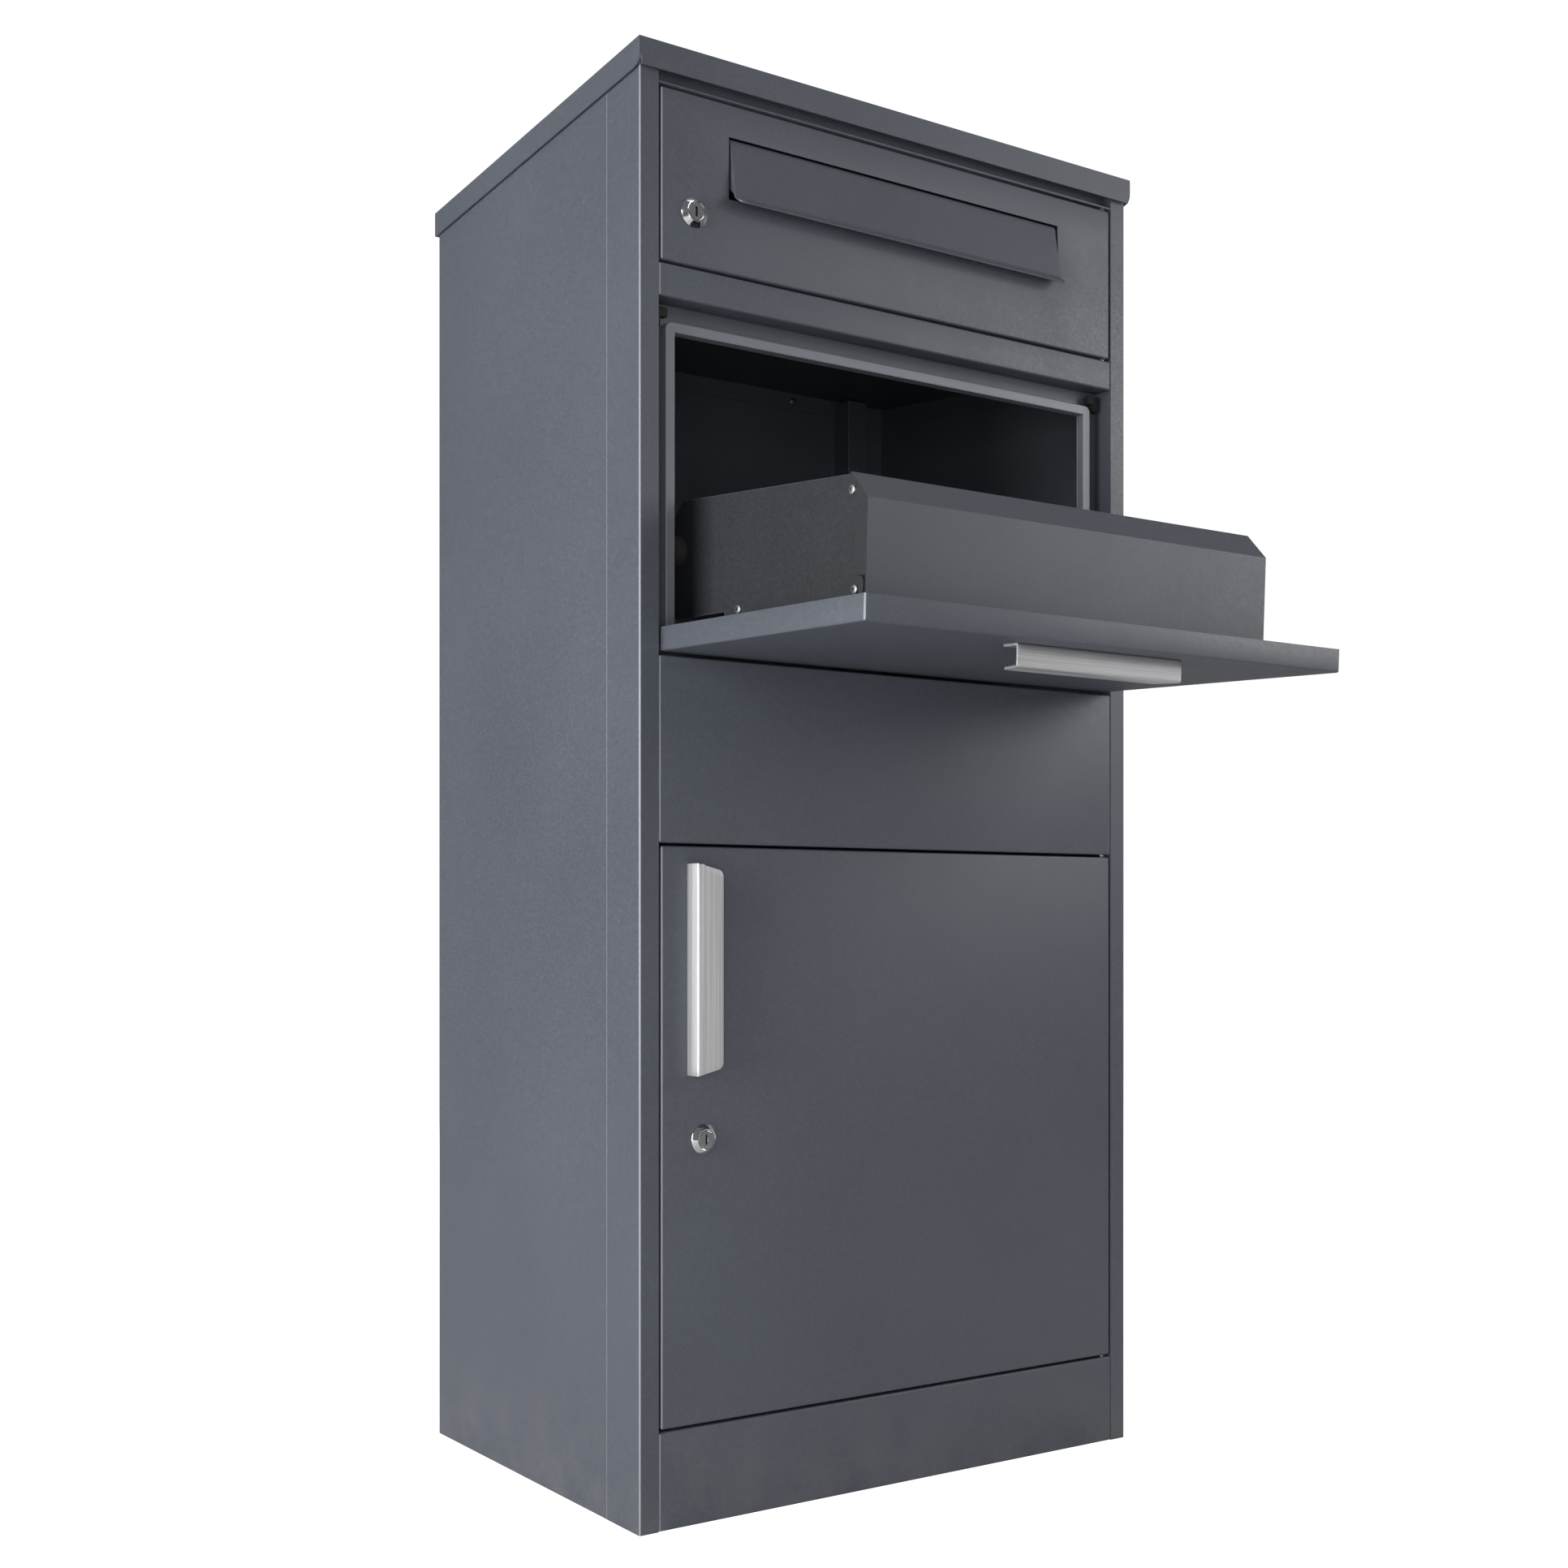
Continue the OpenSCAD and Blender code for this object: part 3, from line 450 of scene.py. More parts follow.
@dataclass(frozen=True)
class StrokedMetal(Finish):
    """A bare or plated metal with fine strokes.

    Attributes:
        light: colour of the light strokes.
        dark: colour of the dark strokes.
        rough: lowest and highest roughness.
        depth: depth of the strokes.
        strokes: strokes per metre along each axis.
        drawn_out: how far highlights are drawn out across the strokes.
    """

    light: Colour = (0.8, 0.8, 0.82)
    dark: Colour = (0.6, 0.61, 0.63)
    rough: tuple[float, float] = (0.06, 0.14)
    depth: float = 0.008 * MM
    strokes: tuple[float, float, float] = (900.0, 900.0, 300.0)
    drawn_out: float = 0.0

    def wire(self, on: Wiring) -> None:
        """Wires the strokes.

        Args:
            on: what it is wired into.
        """
        stretch = on.build.add("ShaderNodeMapping", {"Vector": on.place, "Scale": self.strokes})
        metal = on.build.group(SharedGroup.BRUSHED, {
            "Vector": stretch.outputs[0], "Light": rgba(self.light), "Dark": rgba(self.dark),
            "Rough Low": self.rough[0], "Rough High": self.rough[1]})
        on.build.fill(on.shader, {"Metallic": 1.0, "Anisotropic": self.drawn_out})
        on.feed(metal, metal, self.depth)


@dataclass(frozen=True)
class MouldedBlack(Finish):
    """Rubber or nylon: a dark moulded surface with a fine grain and a grey bloom.

    Attributes:
        tint: colour of the surface.
        bloom: colour of the bloom.
        bloom_amount: how strongly the bloom shows.
        grain: size of the grain.
        depth: depth of the grain.
        gloss: lowest and highest roughness.
    """

    tint: Colour = (0.012, 0.012, 0.013)
    bloom: Colour = (0.05, 0.05, 0.052)
    bloom_amount: float = 0.5
    grain: float = 0.7 * MM
    depth: float = 0.06 * MM
    gloss: tuple[float, float] = (0.6, 0.82)

    def wire(self, on: Wiring) -> None:
        """Wires the moulded grain and its bloom.

        Args:
            on: what it is wired into.
        """
        skin = on.build.group(SharedGroup.COATING, {
            "Vector": on.place, "Tint": rgba(self.tint), "Fleck": rgba(self.bloom),
            "Fleck Amount": self.bloom_amount, "Grain": self.grain,
            "Gloss Low": self.gloss[0], "Gloss High": self.gloss[1]})
        on.feed(skin, skin, self.depth)


def brushed(name: str, axis: Axis) -> StrokedMetal:
    """Returns the finish of stainless steel brushed along an axis."""
    return StrokedMetal(name, "brushed_handle", light=(0.84, 0.84, 0.85), dark=(0.4, 0.4, 0.41),
                        rough=(0.46, 0.62), depth=0.02 * MM, strokes=axis.value, drawn_out=0.3)


# Each powder coat carries a painted highlight on its upright bends.
ANTHRACITE = PowderCoat("anthracite_powder", "anthracite_sheet")
# The tray's coat also darkens its sideways flanks with painted shade.
TRAY_COAT_PAINTED_FLANK_SHADE = PowderCoat("tray_powder_painted_flank_shade", "anthracite_sheet", painted_flank_shade_amount=0.9)
GREY = PowderCoat("grey_powder", "grey_sheet", tint=(0.16, 0.175, 0.2), fleck=(0.26, 0.28, 0.31),
                  fleck_amount=0.2, depth=0.03 * MM, gloss=(0.38, 0.48), dust=0.05)
BRUSHED_ALONG_X = brushed("brushed_steel_x", Axis.X)
BRUSHED_ALONG_Z = brushed("brushed_steel_z", Axis.Z)
CHROME = StrokedMetal("chrome_plate", "chrome_lock")
ZINC = StrokedMetal("zinc_plate", "zinc_hardware", light=(0.42, 0.42, 0.43), dark=(0.24, 0.25, 0.26),
                    rough=(0.34, 0.5), depth=0.02 * MM)
RUBBER = MouldedBlack("black_rubber", "black_rubber")
NYLON = MouldedBlack("black_nylon", "nylon_bush", tint=(0.02, 0.02, 0.022), grain=1.2 * MM,
                     depth=0.02 * MM, gloss=(0.35, 0.5))


# ---- Mesh work ----

def shade(mesh: bpy.types.Mesh) -> None:
    """Shades a mesh smooth, with its sharp edges kept sharp."""
    mesh.polygons.foreach_set("use_smooth", [True] * len(mesh.polygons))
    mesh.set_sharp_from_angle(angle=SMOOTH_ANGLE)


def to_mesh(bm: bmesh.types.BMesh, name: str) -> bpy.types.Mesh:
    """Turns a finished bmesh into a mesh, and frees it.

    Args:
        bm: the bmesh.
        name: the mesh's name.

    Returns:
        The mesh.
    """
    mesh = bpy.data.meshes.new(name)
    bm.to_mesh(mesh)
    bm.free()
    return mesh


def baked(mesh: bpy.types.Mesh, dress: Callable[[bpy.types.Object], None]) -> bpy.types.Mesh:
    """Applies modifiers to a mesh.

    Args:
        mesh: the mesh, which is used up.
        dress: adds the modifiers to a temporary object that holds the mesh.

    Returns:
        The mesh with its modifiers applied.
    """
    holder = bpy.data.objects.new("holder", mesh)
    bpy.context.scene.collection.objects.link(holder)
    dress(holder)
    graph = bpy.context.evaluated_depsgraph_get()
    result = bpy.data.meshes.new_from_object(holder.evaluated_get(graph))
    bpy.data.objects.remove(holder)
    return result


def publish(name: str, mesh: bpy.types.Mesh, body: str, finish: Finish, *stands_for: str) -> bpy.types.Object:
    """Puts a finished mesh in the scene as one piece.

    Args:
        name: the piece's name.
        mesh: the mesh, in its place.
        body: the body that it rides on.
        finish: its finish.
        stands_for: CAD nodes that it replaces.

    Returns:
        The piece.
    """
    mesh.name = name
    mesh.materials.clear()
    mesh.materials.append(finish.material())
    shade(mesh)
    piece = bpy.data.objects.new(name, mesh)
    bpy.context.scene.collection.objects.link(piece)
    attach(piece, body)
    if stands_for:
        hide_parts(*stands_for)
    log.info("%-28s %6d faces on %s", name, len(mesh.polygons), body)
    return piece


def dress_node(node: str, finish: Finish, edge: float = 0.3 * MM) -> None:
    """Gives a CAD node its finish and rounds its edges.

    Args:
        node: the node's name.
        finish: its finish.
        edge: how far each sharp edge is rounded.
    """
    piece = frame["nodes"][node]
    if not piece.material_slots:
        piece.data.materials.append(finish.material())
    for slot in piece.material_slots:
        slot.link = "OBJECT"
        slot.material = finish.material()
    weld = piece.modifiers.new("Weld", "WELD")
    weld.merge_threshold = MERGE
    flat = piece.modifiers.new("Planar", "DECIMATE")
    flat.decimate_type = "DISSOLVE"
    flat.angle_limit = FLAT_ANGLE
    rounded = piece.modifiers.new("Bevel", "BEVEL")
    rounded.width = edge
    rounded.segments = 2
    rounded.limit_method = "ANGLE"
    rounded.angle_limit = ROUNDED_ANGLE
    rounded.use_clamp_overlap = True
    log.info("%-28s dressed in %s", node, finish.name)


def local_box(node: str, place: Matrix) -> Box:
    """Measures a CAD node from a placed frame.

    Args:
        node: the node's name.
        place: the frame.

    Returns:
        The node's lowest and highest corners.
    """
    back = place.inverted()
    points = np.array([back @ vertex.co for vertex in frame["nodes"][node].data.vertices])
    return Vector(points.min(0)), Vector(points.max(0))


def islands(node: str, place: Matrix = Matrix.Identity(4)) -> list[Box]:
    """Finds the separate solids of a CAD node.

    Args:
        node: the node's name.
        place: the frame that the boxes are seen from.

    Returns:
        The lowest and highest corner of each solid, in order along X, then Y, then Z.
    """
    bm = bmesh.new()
    bm.from_mesh(frame["nodes"][node].data)
    bmesh.ops.remove_doubles(bm, verts=bm.verts, dist=MERGE)
    back = place.inverted()
    boxes = []
    left = set(bm.verts)
    while left:
        stack = [left.pop()]
        group = []
        while stack:
            vertex = stack.pop()
            group.append(back @ vertex.co)
            near = {edge.other_vert(vertex) for edge in vertex.link_edges} & left
            left -= near
            stack.extend(near)
        points = np.array(group)
        boxes.append((Vector(points.min(0)), Vector(points.max(0))))
    bm.free()
    return sorted(boxes, key=lambda box: tuple(round(value, SORT_DIGITS) for value in box[0]))


def filleted(corners: Outline, radius: float, steps: int) -> list[tuple[float, float]]:
    """Rounds the inner corners of an open outline.

    Args:
        corners: the outline's corners.
        radius: the fillets' radius.
        steps: segments in each fillet.

    Returns:
        The outline's points.
    """
    points = [corners[0]]
    for before, at, after in zip(corners, corners[1:], corners[2:]):
        here = Vector(at)
        into = (Vector(before) - here).normalized()
        out = (Vector(after) - here).normalized()
        half = into.angle(out) / 2
        reach = radius / math.tan(half)
        centre = here + (into + out).normalized() * (radius / math.sin(half))
        start = here + into * reach - centre
        end = here + out * reach - centre
        sweep = start.angle_signed(end)
        for step in range(steps + 1):
            points.append(tuple(centre + Matrix.Rotation(-sweep * step / steps, 2) @ start))
    points.append(corners[-1])
    return points


def pan_shell(low: Vector, high: Vector, windows: Iterable[Box] = ()) -> bpy.types.Mesh:
    """Makes the outer skin of a folded panel, with bent edges, open at the back.

    Args:
        low: the panel's lowest corner.
        high: its highest corner.
        windows: openings in its face, as two opposite corners each.

    Returns:
        The skin, with no thickness.
    """
    front, back, cut = -0.99, 0.9, 1e-7
    across, up = (1, 0, 0), (0, 0, 1)
    bm = bmesh.new()
    bmesh.ops.create_cube(bm, size=1.0)
    bmesh.ops.scale(bm, vec=high - low, verts=bm.verts)
    bmesh.ops.translate(bm, vec=(high + low) / 2, verts=bm.verts)
    bm.normal_update()
    bmesh.ops.delete(bm, geom=[face for face in bm.faces if face.normal.y > back], context="FACES_ONLY")
    bmesh.ops.bevel(bm, geom=[edge for edge in bm.edges if not edge.is_boundary], offset=BEND,
                    segments=BEND_STEPS, profile=0.5, affect="EDGES", clamp_overlap=True)
    for near, far in windows:
        for spot, way in ((near, across), (far, across), (near, up), (far, up)):
            faces = [face for face in bm.faces if face.normal.y < front]
            parts = set(faces) | {edge for face in faces for edge in face.edges}
            parts |= {vertex for face in faces for vertex in face.verts}
            bmesh.ops.bisect_plane(bm, geom=list(parts), dist=cut, plane_co=spot, plane_no=way)
            bm.normal_update()
        inside = [face for face in bm.faces if face.normal.y < front
                  and near.x < face.calc_center_median().x < far.x
                  and near.z < face.calc_center_median().z < far.z]
        bmesh.ops.delete(bm, geom=inside, context="FACES")
    return to_mesh(bm, "pan")


def thickened(mesh: bpy.types.Mesh, thickness: float = SHEET, edge: float = 0.2 * MM) -> bpy.types.Mesh:
    """Gives a skin its thickness, inwards, and rounds its raw edges.

    Args:
        mesh: the skin, which is used up.
        thickness: the sheet's thickness.
        edge: how far each raw edge is rounded.

    Returns:
        The sheet.
    """
    def dress(holder: bpy.types.Object) -> None:
        """Adds the thickness and the rounding.

        Args:
            holder: the object that holds the skin.
        """
        solid = holder.modifiers.new("Solidify", "SOLIDIFY")
        solid.thickness = thickness
        solid.offset = -1.0
        solid.use_even_offset = True
        rounded = holder.modifiers.new("Bevel", "BEVEL")
        rounded.width = edge
        rounded.segments = 2
        rounded.limit_method = "ANGLE"
        rounded.angle_limit = RAW_EDGE_ANGLE
    return baked(mesh, dress)


def publish_pan(node: str, box: Box, windows: Iterable[Box] = (), place: Matrix = Matrix.Identity(4)) -> None:
    """Replaces a CAD node with a folded panel.

    Args:
        node: the node's name.
        box: its lowest and highest corners, in the placed frame.
        windows: openings in its face, as two opposite corners each.
        place: the frame.
    """
    sheet = thickened(pan_shell(*box, windows))
    sheet.transform(place)
    publish(f"{node}_folded", sheet, BODY_OF[node], ANTHRACITE, node)


def pressed_strip(path: Outline, half_length: Callable[[float], float], columns: int,
                  frame_of: Callable[[float, float, float], Vector]) -> bpy.types.Mesh:
    """Makes the skin of a bent strip.

    Args:
        path: the bent outline, across the strip.
        half_length: gives the strip's half length at a distance along the outline.
        columns: faces along the strip.
        frame_of: places (first path value, second path value, distance along the strip).

    Returns:
        The skin, with no thickness.
    """
    spans = [math.dist(a, b) for a, b in zip(path, path[1:])]
    bm = bmesh.new()
    rows = []
    gone = 0.0
    for (a, b), span in zip(path, [*spans, 0.0]):
        half = half_length(gone)
        rows.append([bm.verts.new(frame_of(a, b, half * (2 * column / columns - 1)))
                     for column in range(columns + 1)])
        gone += span
    for lower, upper in zip(rows, rows[1:]):
        for column in range(columns):
            bm.faces.new((lower[column], lower[column + 1], upper[column + 1], upper[column]))
    return to_mesh(bm, "strip")


def plate(outline: Outline, thickness: float, frame_of: Callable[[float, float, float], Vector],
          edge: float = 0.25 * MM) -> bpy.types.Mesh:
    """Makes a flat plate from an outline, with rounded edges.

    Args:
        outline: the plate's corners.
        thickness: its thickness.
        frame_of: places (first outline value, second outline value, depth).
        edge: how far each edge is rounded.

    Returns:
        The plate.
    """
    bm = bmesh.new()
    near, far = [[bm.verts.new(frame_of(a, b, depth)) for a, b in outline] for depth in (0.0, thickness)]
    bm.faces.new(near)
    bm.faces.new(far)
    for index in range(len(outline)):
        bm.faces.new((near[index - 1], near[index], far[index], far[index - 1]))
    bmesh.ops.recalc_face_normals(bm, faces=bm.faces)
    bmesh.ops.bevel(bm, geom=list(bm.edges), offset=edge, segments=2, profile=0.5, affect="EDGES")
    return to_mesh(bm, "plate")


def joined(meshes: Sequence[bpy.types.Mesh], place: Matrix = Matrix.Identity(4)) -> bpy.types.Mesh:
    """Joins several meshes, with their normals outwards.

    Args:
        meshes: the meshes, which are used up.
        place: the frame that they are put in.

    Returns:
        The joined mesh.
    """
    bm = bmesh.new()
    for mesh in meshes:
        bm.from_mesh(mesh)
        bpy.data.meshes.remove(mesh)
    bmesh.ops.recalc_face_normals(bm, faces=bm.faces)
    bm.transform(place)
    return to_mesh(bm, "joined")


# ---- Turned parts, by Geometry Nodes ----

@dataclass(frozen=True)
class Profile:
    """Outline of a turned part, from the foot of its axis outwards and up.

    Attributes:
        points: (radius, height) of each ring.
        lobed: rings that take the lobes of a screw recess.
        faceted: rings that are cut into flats.
    """

    points: Outline
    lobed: frozenset[int] = frozenset()
    faceted: frozenset[int] = frozenset()


@dataclass(frozen=True)
class Turned:
    """How a turned part is divided.

    Attributes:
        sides: steps round the axis.
        flats: number of flats on the faceted rings.
        lobes: number of lobes on the lobed rings.
        lobe_depth: depth of the lobes, as a share of the radius.
        turn: largest turn of each copy round its own axis, in radians.
        seed: seed of the turns.
    """

    sides: int = 48
    flats: int = 6
    lobes: int = 6
    lobe_depth: float = 0.0
    turn: float = 0.0
    seed: int = 3


@dataclass
class TurnedPartTree:
    """Geometry Nodes tree that turns a profile and sets a copy of it on each point.

    Attributes:
        tree: the tree.
    """

    tree: bpy.types.NodeTree = field(init=False)

    def __post_init__(self) -> None:
        """Builds the tree."""
        self.tree = bpy.data.node_groups.new("turned_part", "GeometryNodeTree")
        sockets = {"Seats": "NodeSocketGeometry", "Profile": "NodeSocketObject", "Rings": "NodeSocketInt",
                   "Sides": "NodeSocketInt", "Flats": "NodeSocketInt", "Lobes": "NodeSocketInt",
                   "Lobe Depth": FLOAT, "Turn": FLOAT, "Seed": "NodeSocketInt", "Merge": FLOAT,
                   "Material": "NodeSocketMaterial"}
        for label, kind in sockets.items():
            self.tree.interface.new_socket(label, in_out="INPUT", socket_type=kind)
        self.tree.interface.new_socket("Geometry", in_out="OUTPUT", socket_type="NodeSocketGeometry")
        build = NodeBuilder(self.tree)
        given = build.add("NodeGroupInput").outputs
        part = self._turn(build, given)
        aim = build.add("GeometryNodeInputNamedAttribute", {"Name": "aim"}, data_type="FLOAT_VECTOR")
        face = build.add("FunctionNodeAlignRotationToVector", {"Vector": aim.outputs[0]}, axis="Z")
        index = build.add("GeometryNodeInputIndex").outputs[0]
        spin = build.add("FunctionNodeRandomValue", {"ID": index, "Seed": given["Seed"]}, data_type="FLOAT")
        self.tree.links.new(given["Turn"], spin.inputs[3])
        about = build.add("FunctionNodeAxisAngleToRotation", {"Axis": (0, 0, 1), "Angle": spin.outputs[1]})
        turned = build.add("FunctionNodeRotateRotation", {0: face.outputs[0], 1: about.outputs[0]},
                           rotation_space="LOCAL")
        copies = build.add("GeometryNodeInstanceOnPoints", {
            "Points": given["Seats"], "Instance": part, "Rotation": turned.outputs[0]})
        real = build.add("GeometryNodeRealizeInstances", {"Geometry": copies.outputs[0]})
        painted = build.add("GeometryNodeSetMaterial", {
            "Geometry": real.outputs[0], "Material": given["Material"]})
        build.add("NodeGroupOutput", {"Geometry": painted.outputs[0]})

    @staticmethod
    def _turn(build: NodeBuilder, given: bpy.types.NodeOutputs) -> Socket:
        """Wraps a grid round the axis.

        Args:
            build: the tree's builder.
            given: the tree's inputs.

        Returns:
            The turned part's geometry socket.
        """
        across = build.math("ADD", given["Sides"], 1.0)
        grid = build.add("GeometryNodeMeshGrid", {
            "Size X": 1.0, "Size Y": 1.0, "Vertices X": across, "Vertices Y": given["Rings"]})
        spot = build.add("ShaderNodeSeparateXYZ", {0: build.add("GeometryNodeInputPosition").outputs[0]})
        angle = build.math("MULTIPLY", build.math("ADD", spot.outputs["X"], 0.5), 2 * math.pi)
        steps = build.math("SUBTRACT", given["Rings"], 1.0)
        ring = build.math("ROUND", build.math("MULTIPLY", build.math("ADD", spot.outputs["Y"], 0.5), steps))
        outline = build.add("GeometryNodeObjectInfo", {"Object": given["Profile"]}).outputs["Geometry"]

        def sampled(value: Socket, kind: str) -> Socket:
            """Reads the profile at this ring.

            Args:
                value: what is read.
                kind: its data type.

            Returns:
                The value's socket.
            """
            node = build.add("GeometryNodeSampleIndex", data_type=kind, domain="POINT")
            build.fill(node, {"Geometry": outline, "Value": value, "Index": ring})
            return node.outputs[0]

        def mark(name: str) -> Socket:
            """Returns one of the profile's marks at this ring."""
            read = build.add("GeometryNodeInputNamedAttribute", {"Name": name}, data_type="FLOAT")
            return sampled(read.outputs[0], "FLOAT")

        at = build.add("ShaderNodeSeparateXYZ", {
            0: sampled(build.add("GeometryNodeInputPosition").outputs[0], "FLOAT_VECTOR")})
        span = build.math("DIVIDE", 2 * math.pi, given["Flats"])
        half = build.math("MULTIPLY", span, 0.5)
        off = build.math("SUBTRACT", build.math("MODULO", angle, span), half)
        flat = build.math("DIVIDE", build.math("COSINE", half), build.math("COSINE", off))
        flat_on = build.math("MULTIPLY", build.math("SUBTRACT", flat, 1.0), mark("faceted"))
        wave = build.math("COSINE", build.math("MULTIPLY", angle, given["Lobes"]))
        lobe_on = build.math("MULTIPLY", build.math("MULTIPLY", wave, given["Lobe Depth"]), mark("lobed"))
        share = build.math("ADD", build.math("ADD", flat_on, lobe_on), 1.0)
        radius = build.math("MULTIPLY", at.outputs["X"], share)
        wrapped = build.add("ShaderNodeCombineXYZ", {
            0: build.math("MULTIPLY", radius, build.math("COSINE", angle)),
            1: build.math("MULTIPLY", radius, build.math("SINE", angle)), 2: at.outputs["Z"]})
        moved = build.add("GeometryNodeSetPosition", {
            "Geometry": grid.outputs[0], "Position": wrapped.outputs[0]})
        return build.add("GeometryNodeMergeByDistance", {
            "Geometry": moved.outputs[0], "Distance": given["Merge"]}).outputs[0]

    def make(self, profile: Profile, seats: Sequence[Seat], finish: Finish, shape: Turned) -> bpy.types.Mesh:
        """Turns a profile and copies it to every seat.

        Args:
            profile: the part's outline.
            seats: the foot of each copy's axis, and the way that it points.
            finish: the part's finish.
            shape: how the part is divided.

        Returns:
            A plain mesh that holds every copy.
        """
        outline = bpy.data.meshes.new("profile")
        outline.from_pydata([(radius, 0.0, height) for radius, height in profile.points], [], [])
        for name, rings in (("lobed", profile.lobed), ("faceted", profile.faceted)):
            marks = outline.attributes.new(name, "FLOAT", "POINT")
            marks.data.foreach_set("value", [float(ring in rings) for ring in range(len(profile.points))])
        model = bpy.data.objects.new("profile", outline)
        bpy.context.scene.collection.objects.link(model)
        points = bpy.data.meshes.new("seats")
        points.from_pydata([tuple(spot) for spot, _ in seats], [], [])
        aims = points.attributes.new("aim", "FLOAT_VECTOR", "POINT")
        aims.data.foreach_set("vector", [value for _, way in seats for value in way])
        names = {item.name: item.identifier for item in self.tree.interface.items_tree
                 if item.in_out == "INPUT"}
        values = {"Profile": model, "Rings": len(profile.points), "Sides": shape.sides, "Flats": shape.flats,
                  "Lobes": shape.lobes, "Lobe Depth": shape.lobe_depth, "Turn": shape.turn,
                  "Seed": shape.seed, "Merge": MERGE / 4, "Material": finish.material()}

        def dress(holder: bpy.types.Object) -> None:
            """Adds the tree with this part's values.

            Args:
                holder: the object that holds the seats.
            """
            modifier = holder.modifiers.new("Turned", "NODES")
            modifier.node_group = self.tree
            for label, value in values.items():
                modifier[names[label]] = value

        result = baked(points, dress)
        bpy.data.objects.remove(model)
        return joined([result])


TURNED = TurnedPartTree()


def publish_turned(node: str, profile: Profile, seats: Sequence[Seat], finish: Finish, shape: Turned) -> None:
    """Replaces a CAD node with turned parts.

    Args:
        node: the node's name.
        profile: the parts' outline.
        seats: the foot of each part's axis, and the way that it points.
        finish: the parts' finish.
        shape: how each part is divided.
    """
    publish(f"{node}_turned", TURNED.make(profile, seats, finish, shape), BODY_OF[node], finish, node)


def pan_head(radius: float, height: float, shank: float = 0.0) -> Profile:
    """Draws a screw: a domed head with a six-lobe recess, and a shank if it has one.

    Args:
        radius: the head's radius.
        height: the head's height.
        shank: the shank's length.

    Returns:
        The screw's profile.
    """
    core, rim, crown = 0.47 * radius, 0.45, 0.42
    recess = ((0.4, 1.0), (0.38, 0.93), (0.34, 0.3), (0.0, 0.2))
    quarter = 5
    turns = [step * math.pi / 2 / quarter for step in range(1, quarter + 1)]
    foot = [(0.0, -shank), (core, -shank), (core, 0.0)] if shank else [(0.0, 0.0)]
    points = foot + [(radius, 0.0), (radius, rim * height)]
    points += [(radius * (crown + (1 - crown) * math.cos(turn)), height * (rim + (1 - rim) * math.sin(turn)))
               for turn in turns]
    points += [(share * radius, level * height) for share, level in recess]
    count = len(points)
    return Profile(tuple(points), lobed=frozenset(range(count - len(recess), count - 1)))


def rounded_pin(radius: float, length: float, edge: float) -> Profile:
    """Draws a pin with rounded rims.

    Args:
        radius: the pin's radius.
        length: its length.
        edge: radius of its rims.

    Returns:
        The pin's profile.
    """
    turns = [step * math.pi / 2 / BEND_STEPS for step in range(BEND_STEPS + 1)]
    lower = [(radius - edge + edge * math.sin(turn), edge - edge * math.cos(turn)) for turn in turns]
    upper = [(radius - edge + edge * math.cos(turn), length - edge + edge * math.sin(turn)) for turn in turns]
    return Profile(((0.0, 0.0), *lower, *upper, (0.0, length)))


def seat(box: Box, way: Vector, place: Matrix = Matrix.Identity(4)) -> Seat:
    """Finds the foot of a fastener's axis.

    Args:
        box: the lowest and highest corner of its solid, in the placed frame.
        way: the way that it points, along one axis of that frame.
        place: the frame.

    Returns:
        The foot and the way, in the object's frame.
    """
    low, high = box
    foot = (low + high) / 2
    for axis in range(3):
        if way[axis]:
            foot[axis] = low[axis] if way[axis] > 0 else high[axis]
    return place @ foot, (place.to_3x3() @ way).normalized()


LEFT, RIGHT = Vector((-1, 0, 0)), Vector((1, 0, 0))
FORWARD, BACKWARD = Vector((0, -1, 0)), Vector((0, 1, 0))
DOWN, UP = Vector((0, 0, -1)), Vector((0, 0, 1))


def outward(box: Box) -> Vector:
    """Returns LEFT or RIGHT, away from the middle of the object."""
    return RIGHT if box[0].x + box[1].x > 0 else LEFT


def inward(box: Box) -> Vector:
    """Returns LEFT or RIGHT, towards the middle of the object."""
    return -outward(box)


